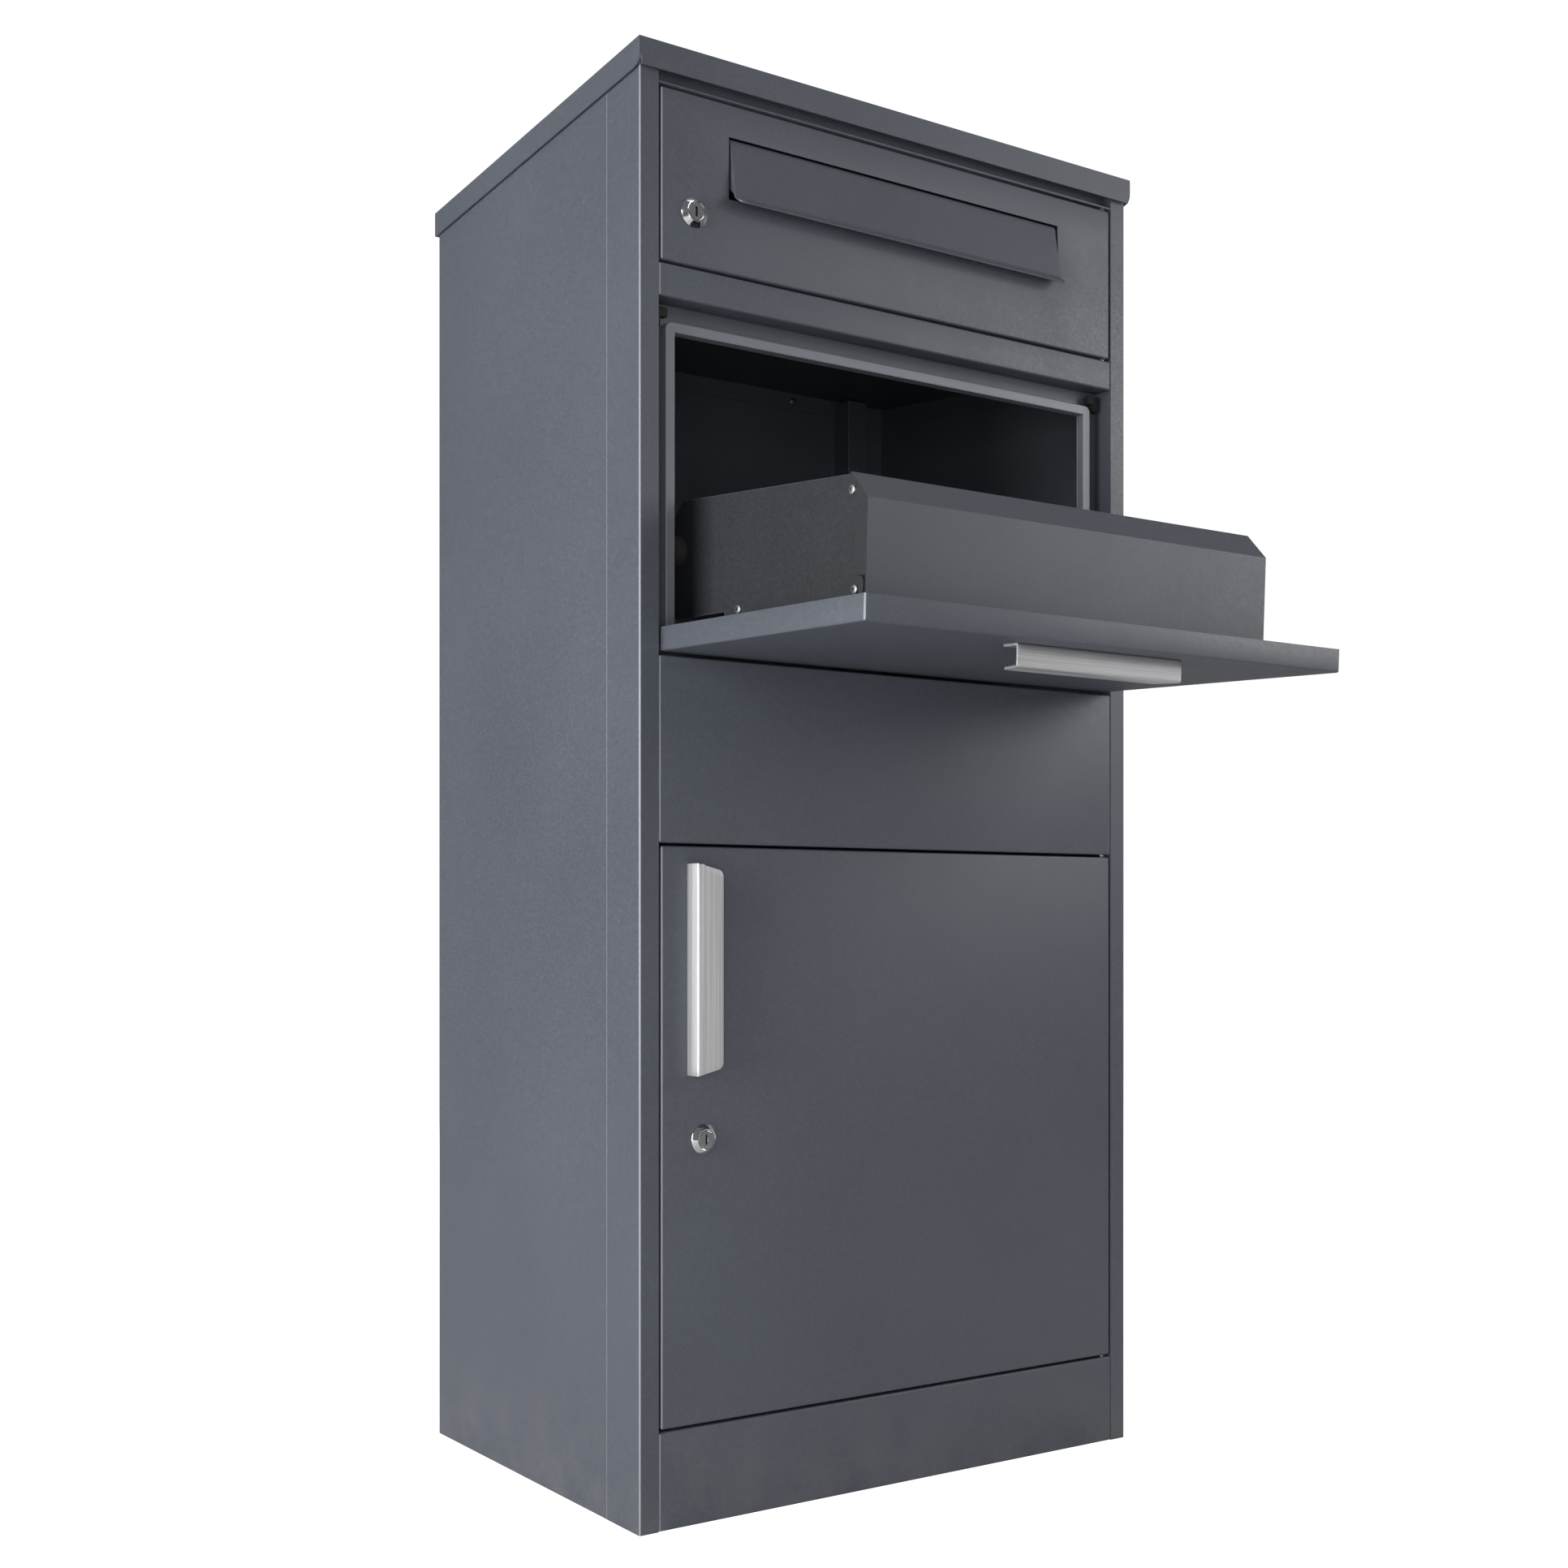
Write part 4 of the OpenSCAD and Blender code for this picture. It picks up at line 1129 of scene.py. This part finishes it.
@dataclass
class Fasteners:
    """Small turned parts that several sub-assemblies share.

    Attributes:
        head: how screw heads are divided.
        plain: how pins are divided.
        pin_head: (share of the radius, height) of each ring of a hinge pin's head.
        shank: radius of a hinge pin's shank.
        chamfer: chamfer at the end of the shank.
        break_edge: smaller chamfer at the start of a pin without a head.
    """

    head: Turned = Turned(lobe_depth=0.16, turn=math.tau)
    plain: Turned = Turned(sides=40)
    pin_head: Outline = ((0.6, 0.0), (0.9, 0.2 * MM), (1.0, 0.6 * MM), (1.0, 1.5 * MM))
    shank: float = 2.0 * MM
    chamfer: float = 0.5 * MM
    break_edge: float = 0.2 * MM

    def screws(self, node: str, finish: Finish, way_of: Callable[[Box], Vector],
               place: Matrix = Matrix.Identity(4)) -> None:
        """Replaces a node's screw heads, with each head seated where its solid is.

        Args:
            node: the screws' CAD node.
            finish: their finish.
            way_of: gives the way that a screw points, from its box.
            place: the frame that the boxes are seen from.
        """
        boxes = islands(node, place)
        way = way_of(boxes[0])
        size = boxes[0][1] - boxes[0][0]
        radius = max(size[axis] for axis in range(3) if not way[axis]) / 2
        seats = [seat(box, way_of(box), place) for box in boxes]
        publish_turned(node, pan_head(radius, abs(size.dot(way))), seats, finish, self.head)

    def hinge_pins(self, node: str, way_of: Callable[[int, Box], Vector]) -> None:
        """Replaces a node's hinge pins with turned pins, domed where the pin has a head.

        Args:
            node: the pins' CAD node.
            way_of: gives the way that a pin points, from its number and its box.
        """
        pins = []
        for index, box in enumerate(islands(node)):
            way = way_of(index, box)
            size = box[1] - box[0]
            length = abs(size.dot(way))
            radius = min(size) / 2
            if radius > self.shank + self.chamfer:
                rise = [(share * radius, height) for share, height in self.pin_head]
                rise.append((self.shank, rise[-1][1]))
            else:
                rise = [(self.shank - self.break_edge, 0.0), (self.shank, self.break_edge)]
            points = ((0.0, 0.0), *rise, (self.shank, length - self.chamfer),
                      (self.shank - self.chamfer, length), (0.0, length))
            pins.append(TURNED.make(Profile(points), [seat(box, way)], ZINC, self.plain))
        publish(f"{node}_turned", joined(pins), BODY_OF[node], ZINC, node)


FASTENERS = Fasteners()


# ---- Sub-assemblies ----

@dataclass
class Cabinet:
    """The fixed shell: posts, panels, rails, roof, shelf and the plate behind the tray door.

    Attributes:
        pans: the folded panels.
        sheets: the other sheets.
        rivet: radius and height of a rivet's head.
    """

    pans: tuple[str, ...] = ("plinth_panel", "middle_panel", "mail_sill_rail")
    sheets: tuple[str, ...] = ("base_plate", "left_side_panel", "right_side_panel", "back_panel",
                               "left_front_post", "right_front_post", "left_rear_post", "right_rear_post",
                               "top_rail", "mail_shelf", "chute_bulkhead", "roof_cap")
    rivet: tuple[float, float] = (3.2 * MM, 1.0 * MM)

    def build(self) -> None:
        """Builds and dresses every piece of the cabinet."""
        for node in self.pans:
            publish_pan(node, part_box(node))
        for node in self.sheets:
            dress_node(node, ANTHRACITE)
        dress_node("chute_surround", GREY, 0.5 * MM)
        dress_node("closing_pads", RUBBER, 0.4 * MM)
        for node in ("mail_lock_strike", "parcel_lock_strike"):
            dress_node(node, ZINC)
        self.fasteners()

    @staticmethod
    def shelf_way(box: Box) -> Vector:
        """Returns the way that a shelf screw points: inwards at the sides, forwards at the back."""
        size = box[1] - box[0]
        return FORWARD if size.x > size.y else inward(box)

    def fasteners(self) -> None:
        """Turns the cabinet's screws, rivets and hinge pins."""
        FASTENERS.screws("shelf_screws", ZINC, self.shelf_way)
        FASTENERS.screws("roof_screws", ZINC, lambda box: BACKWARD)
        radius, height = self.rivet
        turns = [step * math.pi / 12 for step in range(6)]
        dome = [(radius * math.cos(turn), height * math.sin(turn)) for turn in turns]
        seats = [seat(box, BACKWARD) for box in islands("panel_rivets")]
        profile = Profile(((0.0, 0.0), *dome, (0.0, height)))
        publish_turned("panel_rivets", profile, seats, ANTHRACITE, Turned(sides=32))
        FASTENERS.hinge_pins("drop_hinge_pins", lambda index, box: inward(box))
        for node in ("mail_hinge_pins", "parcel_hinge_pins"):
            FASTENERS.hinge_pins(node, lambda index, box: UP if index == 0 else DOWN)


@dataclass
class BentHandle:
    """A strip bent into a mounting flange, a web and a lip with rounded corners.

    Attributes:
        node: the handle's CAD node.
        screws: its screws' CAD node.
        finish: its brushed finish.
        place: from the handle's own frame to the object's: the strip lies along Z, on a face at y = 0.
        thickness: the strip's thickness.
        flange: width of the mounting flange.
        out: how far the lip stands out.
        lip: width of the lip.
        length: length of the strip.
        corner: radius of the lip's corners.
        taper: how far the lip's ends lean in, in radians.
        bend: outer radius of the bends.
        screw_at: distance of each screw from the middle.
        screw_in: distance of each screw from the web.
        head: radius and height of the screws' heads.
        nut: bore radius, radius, height and chamfer of the screws' nuts.
        past: length of screw behind the sheet.
    """

    node: str
    screws: str
    finish: Finish
    place: Matrix
    thickness: float = 1.5 * MM
    flange: float = 14 * MM
    out: float = 15.3 * MM
    lip: float = 20.5 * MM
    length: float = 145 * MM
    corner: float = 5 * MM
    taper: float = math.radians(14)
    bend: float = 1.55 * MM
    screw_at: float = 58 * MM
    screw_in: float = 8 * MM
    head: tuple[float, float] = (3.4 * MM, 1.8 * MM)
    nut: tuple[float, float, float, float] = (1.65 * MM, 3.6 * MM, 2.4 * MM, 0.2 * MM)
    past: float = 3 * MM

    def build(self) -> None:
        """Builds the strip and its screws."""
        centre = self.lip - self.corner
        path = filleted([(self.flange, 0.0), (0.0, 0.0), (0.0, -self.out), (centre, -self.out)], self.bend, 5)
        corner_steps = 10
        turns = [step * math.pi / 2 / corner_steps for step in range(1, corner_steps + 1)]
        path += [(centre + self.corner * math.sin(turn), -self.out) for turn in turns]
        total = sum(math.dist(a, b) for a, b in zip(path, path[1:]))
        rise = self.length / 2 - centre * math.tan(self.taper) - self.corner / math.cos(self.taper)

        def half_length(gone: float) -> float:
            """Narrows the lip towards its edge and rounds its corners.

            Args:
                gone: distance along the strip's outline.

            Returns:
                The strip's half length there.
            """
            across = max(0.0, self.lip - (total - gone))
            if across <= centre + self.corner * math.sin(self.taper):
                return self.length / 2 - across * math.tan(self.taper)
            return rise + math.sqrt(max(0.0, self.corner ** 2 - (across - centre) ** 2))

        skin = pressed_strip(path, half_length, 30, lambda a, b, along: Vector((a, b, along)))
        strip = joined([thickened(self.facing(skin), self.thickness, 0.3 * MM)], self.place)
        publish(f"{self.node}_pressed", strip, BODY_OF[self.node], self.finish, self.node)
        self.fasten()

    def fasten(self) -> None:
        """Turns the handle's screws and their nuts."""
        way = self.place.to_3x3() @ FORWARD
        seats = [(self.place @ Vector((self.screw_in, -self.thickness, side * self.screw_at)), way)
                 for side in (-1, 1)]
        through = self.thickness + SHEET
        heads = TURNED.make(pan_head(*self.head, through + self.past), seats, ZINC, FASTENERS.head)
        bore, radius, height, chamfer = self.nut
        nut = Profile(((bore, 0.0), (radius, 0.0), (radius, height - chamfer), (radius - chamfer, height),
                       (bore, height), (bore, 0.0)), faceted=frozenset((1, 2, 3)))
        nuts = TURNED.make(nut, [(spot - way * through, -way) for spot, way in seats], ZINC, Turned())
        publish(f"{self.screws}_turned", joined([heads, nuts]), BODY_OF[self.screws], ZINC, self.screws)

    @staticmethod
    def facing(skin: bpy.types.Mesh) -> bpy.types.Mesh:
        """Turns the skin's normals to the outside of the bends.

        Args:
            skin: the strip's skin.

        Returns:
            The same skin.
        """
        web = max(skin.polygons, key=lambda face: face.area)
        if web.normal.x > 0 or web.normal.y > 0:
            skin.flip_normals()
        return skin


@dataclass
class CamLock:
    """A cam lock: a bevelled chrome bezel on a threaded barrel, its nut, plug, cam and screw.

    Attributes:
        name: the lock's name, before each of its nodes.
        radius: radius of the bezel.
        height: how far the bezel stands out.
        barrel: radius of the threaded barrel.
        depth: length of the barrel.
        bore: radius of the plug's bore.
        pitch: pitch of the thread.
        ridge: depth of the thread.
        bezel: (share of the radius, distance below the front) of the bezel's rings, from its foot inwards.
        nut: radius, height, and width and depth of the chamfer of the nut.
        play: play between the nut and the barrel.
    """

    name: str
    radius: float = 10.5 * MM
    height: float = 4.0 * MM
    barrel: float = 9.4 * MM
    depth: float = 17.6 * MM
    bore: float = 6.06 * MM
    pitch: float = 1.0 * MM
    ridge: float = 0.35 * MM
    bezel: Outline = ((1.0, 4.1 * MM), (1.0, 3.3 * MM), (0.97, 2.9 * MM), (0.73, 0.25 * MM), (0.7, 0.0),
                      (0.67, 0.1 * MM), (0.655, 0.8 * MM))
    nut: tuple[float, float, float, float] = (13.0 * MM, 4.0 * MM, 0.6 * MM, 0.5 * MM)
    play: float = 0.05 * MM

    def build(self) -> None:
        """Builds the lock."""
        low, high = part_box(f"{self.name}_lock_body")
        centre = (low + high) / 2
        at = Vector((centre.x, low.y + self.height, centre.z))
        round_body = Turned(sides=60)
        publish_turned(f"{self.name}_lock_body", self.body_profile(), [(at, FORWARD)], CHROME, round_body)
        behind = at + BACKWARD * SHEET
        publish_turned(f"{self.name}_lock_nut", self.nut_profile(), [(behind, BACKWARD)], ZINC, Turned())
        dress_node(f"{self.name}_lock_plug", CHROME, 0.25 * MM)
        dress_node(f"{self.name}_lock_cam", ZINC)
        FASTENERS.screws(f"{self.name}_cam_screw", ZINC, lambda box: BACKWARD)

    def nut_profile(self) -> Profile:
        """Draws the hexagonal nut.

        Returns:
            Its profile.
        """
        hole = self.barrel + self.play
        radius, height, cut, drop = self.nut
        return Profile(((hole, 0.0), (radius - cut, 0.0), (radius, drop), (radius, height - drop),
                        (radius - cut, height), (hole, height), (hole, 0.0)), faceted=frozenset((2, 3)))

    def body_profile(self) -> Profile:
        """Draws bezel and threaded barrel as one closed ring.

        Returns:
            Their profile.
        """
        root = self.barrel - self.ridge
        points = [(self.bore, -self.depth), (root, -self.depth)]
        for turn in range(int(self.depth / self.pitch) - 2):
            back = -self.depth + (turn + 1) * self.pitch
            points += [(root, back), (self.barrel, back + self.pitch / 2)]
        points.append((root, self.height - self.bezel[0][1]))
        points += [(share * self.radius, self.height - under) for share, under in self.bezel]
        points += [(self.bore + 0.2 * MM, points[-1][1]), (self.bore, points[-1][1] - 0.2 * MM)]
        points.append((self.bore, -self.depth))
        return Profile(tuple(points))


@dataclass
class TrayDoor:
    """The tilting door with its parcel tray, drawn in the frame in which it is shut.

    Attributes:
        hinge: the door's joint.
        stop_edge: radius of a stop's rim.
        stop_rings: (share of the radius, share of the length) of the groove round a stop.
        stop_cup: depth of the hole for a stop's screw.
        place: the frame in which the door is shut.
    """

    hinge: dict = field(default_factory=lambda: JOINTS["drop_door_hinge"])
    stop_edge: float = 2.0 * MM
    stop_rings: Outline = ((1.0, 0.3), (0.97, 0.34), (0.97, 0.44), (1.0, 0.48))
    stop_cup: float = 5 * MM
    place: Matrix = field(init=False)

    def __post_init__(self) -> None:
        """Works out the open door's frame: its origin is on the hinge axis."""
        opened = math.radians(self.hinge["range_deg"][1])
        self.place = Matrix.Translation(self.hinge["pos_m"]) @ Matrix.Rotation(opened, 4, "X")

    def build(self) -> None:
        """Builds the door, tray, handle and fasteners."""
        low, high = local_box("drop_door_panel", self.place)
        publish_pan("drop_door_panel", (low, high), place=self.place)
        for node in ("tray_floor", "tray_left_side", "tray_right_side"):
            # The tray's sideways flanks carry painted shade.
            dress_node(node, TRAY_COAT_PAINTED_FLANK_SHADE, 0.4 * MM)
        dress_node("tray_front_plate", TRAY_COAT_PAINTED_FLANK_SHADE, 0.5 * MM)
        FASTENERS.screws("tray_screws", ZINC, outward, self.place)
        self.stops()
        self.bushes()
        handle_low, handle_high = local_box("drop_handle", self.place)
        middle = Vector((0.0, low.y, handle_high.z))
        BentHandle("drop_handle", "drop_handle_screws", BRUSHED_ALONG_X,
                   self.place @ Matrix.Translation(middle) @ Matrix.Rotation(math.pi / 2, 4, "Y"),
                   length=handle_high.x - handle_low.x).build()

    def stops(self) -> None:
        """Turns the two rubber stops, with a screw sunk in each."""
        boxes = islands("tray_stops", self.place)
        size = boxes[0][1] - boxes[0][0]
        radius = size.z / 2
        length = size.x
        chamfer = 1 * MM
        mouth, hole, foot = 0.45 * radius, 0.4 * radius, 0.97 * radius
        turns = [step * math.pi / 2 / BEND_STEPS for step in range(BEND_STEPS + 1)]
        points = [(0.0, 0.0), (foot, 0.0), (radius, chamfer)]
        points += [(share * radius, along * length) for share, along in self.stop_rings]
        points += [(radius - self.stop_edge * (1 - math.cos(turn)),
                    length - self.stop_edge * (1 - math.sin(turn))) for turn in turns]
        points += [(mouth, length), (hole, length - chamfer), (hole, length - self.stop_cup),
                   (0.0, length - self.stop_cup)]
        seats = [seat(box, outward(box), self.place) for box in boxes]
        publish_turned("tray_stops", Profile(tuple(points)), seats, RUBBER, Turned(sides=56))

    def bushes(self) -> None:
        """Turns the door's two hinge bushes."""
        seats = [seat(box, inward(box), self.place) for box in islands("drop_door_bushes", self.place)]
        publish_turned("drop_door_bushes", bush_profile(), seats, NYLON, FASTENERS.plain)


def bush_profile() -> Profile:
    """Draws a flanged hinge bush, with its collar at the foot.

    Returns:
        The bush's profile.
    """
    collar, flange, sleeve, bore, length = 3.5 * MM, 0.7 * MM, 2.8 * MM, 2.06 * MM, 4.7 * MM
    break_edge, lead_in = 0.2 * MM, 0.3 * MM
    return Profile(((bore, 0.0), (collar - break_edge, 0.0), (collar, break_edge), (collar, flange),
                    (sleeve, flange), (sleeve, length - lead_in), (sleeve - lead_in, length), (bore, length),
                    (bore, 0.0)))


@dataclass
class SideDoor:
    """A side-hung door: a folded panel with two hinge bushes.

    Attributes:
        panel: the panel's CAD node.
        bushes: the bushes' CAD node.
        windows: openings in its face.
    """

    panel: str
    bushes: str
    windows: tuple[Box, ...] = ()

    def build(self) -> None:
        """Builds the panel and the bushes."""
        publish_pan(self.panel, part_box(self.panel), self.windows)
        lower, upper = sorted(islands(self.bushes), key=lambda box: box[0].z)
        seats = [seat(lower, UP), seat(upper, DOWN)]
        publish_turned(self.bushes, bush_profile(), seats, NYLON, FASTENERS.plain)


@dataclass
class LetterDoor:
    """The letter door with its slot, flap rod and lock.

    Attributes:
        slot_width: width of the slot.
        slot_top: height of the slot's upper edge.
        slot_bottom: height of its lower edge.
    """

    slot_width: float = 306.6 * MM
    slot_top: float = 960.4 * MM
    slot_bottom: float = 917.0 * MM

    def build(self) -> None:
        """Builds the door and what it carries."""
        half = self.slot_width / 2
        window = (Vector((-half, 0.0, self.slot_bottom)), Vector((half, 0.0, self.slot_top)))
        SideDoor("mail_door_panel", "mail_door_bushes", (window,)).build()
        low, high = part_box("flap_rod")
        rod = rounded_pin((high.z - low.z) / 2, high.x - low.x, 0.5 * MM)
        publish_turned("flap_rod", rod, [seat((low, high), RIGHT)], ZINC, Turned(sides=24))
        dress_node("flap_rod_brackets", ZINC)
        CamLock("mail").build()


@dataclass
class LetterFlap:
    """The flap over the letter slot: a curl round the rod, a leaning plate, a flared lip and two ears.

    Attributes:
        lean: outward lean of the resting flap, in radians.
        curl: outer radius of the curl.
        plate: length of the plate below the rod.
        lip: length of the flared lip.
        flare: angle between plate and lip, in radians.
        corner: radius of the lip's lower corners.
        ear: depth of the ears.
        ear_inset: play between the ears and the flap's ends.
        wrap: where the curl starts and how far it goes round, in degrees.
        wrap_steps: faces round the curl.
        flare_bend: radius of the bend between plate and lip.
    """

    lean: float = math.radians(9)
    curl: float = 3.6 * MM
    plate: float = 40 * MM
    lip: float = 9.4 * MM
    flare: float = math.radians(45)
    corner: float = 4 * MM
    ear: float = 7 * MM
    ear_inset: float = 0.05 * MM
    wrap: tuple[float, float] = (-70, 250)
    wrap_steps: int = 20
    flare_bend: float = 3 * MM

    def outline(self) -> list[tuple[float, float]]:
        """Draws the flap from the side: curl, plate, bend and lip.

        Returns:
            (depth, height) of each point from the rod's axis.
        """
        start, sweep = self.wrap
        turns = [math.radians(start + sweep * step / self.wrap_steps) for step in range(self.wrap_steps + 1)]
        curl = [(self.curl * math.cos(turn), self.curl * math.sin(turn)) for turn in turns]
        edge = Vector((-self.curl - self.lip * math.sin(self.flare),
                       -self.plate - self.lip * math.cos(self.flare)))
        bend = filleted([(-self.curl, 0.0), (-self.curl, -self.plate), tuple(edge)], self.flare_bend, 6)
        last = Vector(bend[-2])
        lip = [tuple(last.lerp(edge, share)) for share in (0.3, 0.5, 0.7, 0.85)]
        return curl + bend[1:-1] + lip + bend[-1:]

    def build(self) -> None:
        """Builds the flap as one pressed piece."""
        low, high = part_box("letter_flap")
        half = (high.x - low.x) / 2
        joint = JOINTS["letter_flap_hinge"]
        place = Matrix.Translation(joint["pos_m"]) @ Matrix.Rotation(-self.lean, 4, "X")
        path = self.outline()
        total = sum(math.dist(a, b) for a, b in zip(path, path[1:]))

        def half_length(gone: float) -> float:
            """Rounds the lip's corners.

            Args:
                gone: distance along the flap's outline.

            Returns:
                The flap's half width there.
            """
            past = max(0.0, gone - (total - self.corner))
            return half - self.corner + math.sqrt(max(0.0, self.corner ** 2 - past ** 2))

        skin = pressed_strip(path, half_length, 40, lambda a, b, along: Vector((along, a, b)))
        front = min(skin.polygons, key=lambda face: face.center.z)
        if front.normal.y > 0:
            skin.flip_normals()
        shell = thickened(skin, SHEET, 0.25 * MM)
        reach, inner = self.ear - self.curl, -self.curl + SHEET / 2
        top, foot, slope = -4 * MM, -self.plate + 2 * MM, -self.plate + 9 * MM
        ear = [(inner, top), (inner, foot), (SHEET - self.curl, foot), (reach, slope), (reach, top)]
        end = half - self.ear_inset
        ears = [plate(ear, SHEET, lambda a, b, depth, side=side: Vector((side * (end - depth), a, b)))
                for side in (-1, 1)]
        flap = joined([shell, *ears], place)
        publish("letter_flap_pressed", flap, "letter_flap", ANTHRACITE, "letter_flap")


@dataclass
class ParcelDoor:
    """The parcel door with its stiffener, handle and lock."""

    def build(self) -> None:
        """Builds the door and what it carries."""
        SideDoor("parcel_door_panel", "parcel_door_bushes").build()
        dress_node("parcel_door_stiffener", ANTHRACITE)
        door_low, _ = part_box("parcel_door_panel")
        low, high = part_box("parcel_handle")
        middle = Vector((low.x, door_low.y, (low.z + high.z) / 2))
        BentHandle("parcel_handle", "parcel_handle_screws", BRUSHED_ALONG_Z, Matrix.Translation(middle),
                   length=high.z - low.z).build()
        CamLock("parcel").build()


@dataclass(frozen=True)
class SoftLight:
    """A square soft light, which the camera doesn't see.

    Attributes:
        name: the light's name.
        at: its place.
        target: the point that it faces.
        size: length of its sides.
        power: its power in watts.
    """

    name: str
    at: tuple[float, float, float]
    target: tuple[float, float, float]
    size: float
    power: float

    def hang(self) -> None:
        """Hangs the light."""
        light = bpy.data.lights.new(self.name, "AREA")
        light.shape = "SQUARE"
        light.size = self.size
        light.energy = self.power
        lamp = bpy.data.objects.new(self.name, light)
        lamp.location = self.at
        lamp.rotation_euler = (Vector(self.target) - Vector(self.at)).to_track_quat("-Z", "Y").to_euler()
        lamp.visible_camera = False
        bpy.context.scene.collection.objects.link(lamp)


@dataclass
class Studio:
    """A plain pale floor, soft light and the camera.

    Attributes:
        lights: the soft lights.
        ambient: brightness of the surround, as the object sees it.
        backdrop: brightness of the surround, as the camera sees it.
        floor_glow: the floor's own light, as the camera sees it.
        floor_shade: how much light the floor throws back.
        floor_half: half the floor's width.
        camera_at: the camera's place.
        camera_turn: the camera's turn about the upright axis, in radians.
        lens: the camera's focal length, in millimetres.
        rise: vertical shift of the picture, which keeps upright edges parallel.
    """

    lights: tuple[SoftLight, ...] = (
        SoftLight("left", (-2.4, -0.22, 0.8), (0.0, 0.0, 0.55), 1.6, 65.0),
        SoftLight("right_front", (1.0, -0.95, 1.02), (0.15, -0.16, 0.68), 0.7, 7.5),
        SoftLight("fill", (-0.95, -1.7, 0.38), (0.0, 0.0, 0.6), 0.8, 9.0),
        SoftLight("top", (0.2, -0.5, 2.6), (0.0, 0.0, 1.0), 1.2, 5.5),
        SoftLight("back", (0.6, 2.2, 1.2), (0.0, 0.0, 0.5), 1.6, 26.0),
    )
    ambient: float = 0.16
    backdrop: float = 1.05
    floor_glow: float = 0.95
    floor_shade: float = 0.7
    floor_half: float = 12.0
    camera_at: tuple[float, float, float] = (-0.8848, -1.2987, 0.4131)
    camera_turn: float = math.radians(-34.372)
    lens: float = 44.635
    rise: float = 0.0893

    def build(self) -> None:
        """Builds floor, world, lights and camera."""
        scene = bpy.context.scene
        scene.view_settings.view_transform = "Standard"
        self.floor()
        self.world()
        for light in self.lights:
            light.hang()
        camera = bpy.data.cameras.new("camera")
        camera.lens = self.lens
        camera.shift_y = self.rise
        viewer = bpy.data.objects.new("camera", camera)
        viewer.location = self.camera_at
        viewer.rotation_euler = (math.pi / 2, 0.0, self.camera_turn)
        scene.collection.objects.link(viewer)
        scene.camera = viewer

    def floor(self) -> None:
        """Lays a wide pale floor under the base."""
        bm = bmesh.new()
        bmesh.ops.create_grid(bm, x_segments=1, y_segments=1, size=self.floor_half)
        mesh = to_mesh(bm, "floor")
        made = bpy.data.materials.new("pale_floor")
        made.use_nodes = True
        build = NodeBuilder(made.node_tree)
        seen = build.add("ShaderNodeLightPath").outputs["Is Camera Ray"]
        build.fill(made.node_tree.nodes["Principled BSDF"], {
            "Base Color": rgba((self.floor_shade,) * 3), "Roughness": 0.7, "Emission Color": rgba(WHITE),
            "Emission Strength": build.math("MULTIPLY", seen, self.floor_glow)})
        mesh.materials.append(made)
        floor = bpy.data.objects.new("floor", mesh)
        bpy.context.scene.collection.objects.link(floor)

    def world(self) -> None:
        """Makes a white surround that lights the object softly."""
        world = bpy.data.worlds.new("surround")
        world.use_nodes = True
        world.node_tree.nodes.clear()
        build = NodeBuilder(world.node_tree)
        seen = build.add("ShaderNodeLightPath").outputs["Is Camera Ray"]
        strength = build.ramp(seen, 0.0, 1.0, self.ambient, self.backdrop)
        glow = build.add("ShaderNodeBackground", {"Color": rgba(WHITE), "Strength": strength})
        build.add("ShaderNodeOutputWorld", {"Surface": glow.outputs[0]})
        bpy.context.scene.world = world


def main() -> None:
    """Builds the sub-assemblies in order."""
    logging.basicConfig(level=logging.INFO, format="%(message)s")
    for part in (Studio(), Cabinet(), TrayDoor(), LetterDoor(), LetterFlap(), ParcelDoor()):
        log.info("-- %s", type(part).__name__)
        part.build()
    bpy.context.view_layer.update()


if __name__ == "__main__":
    main()
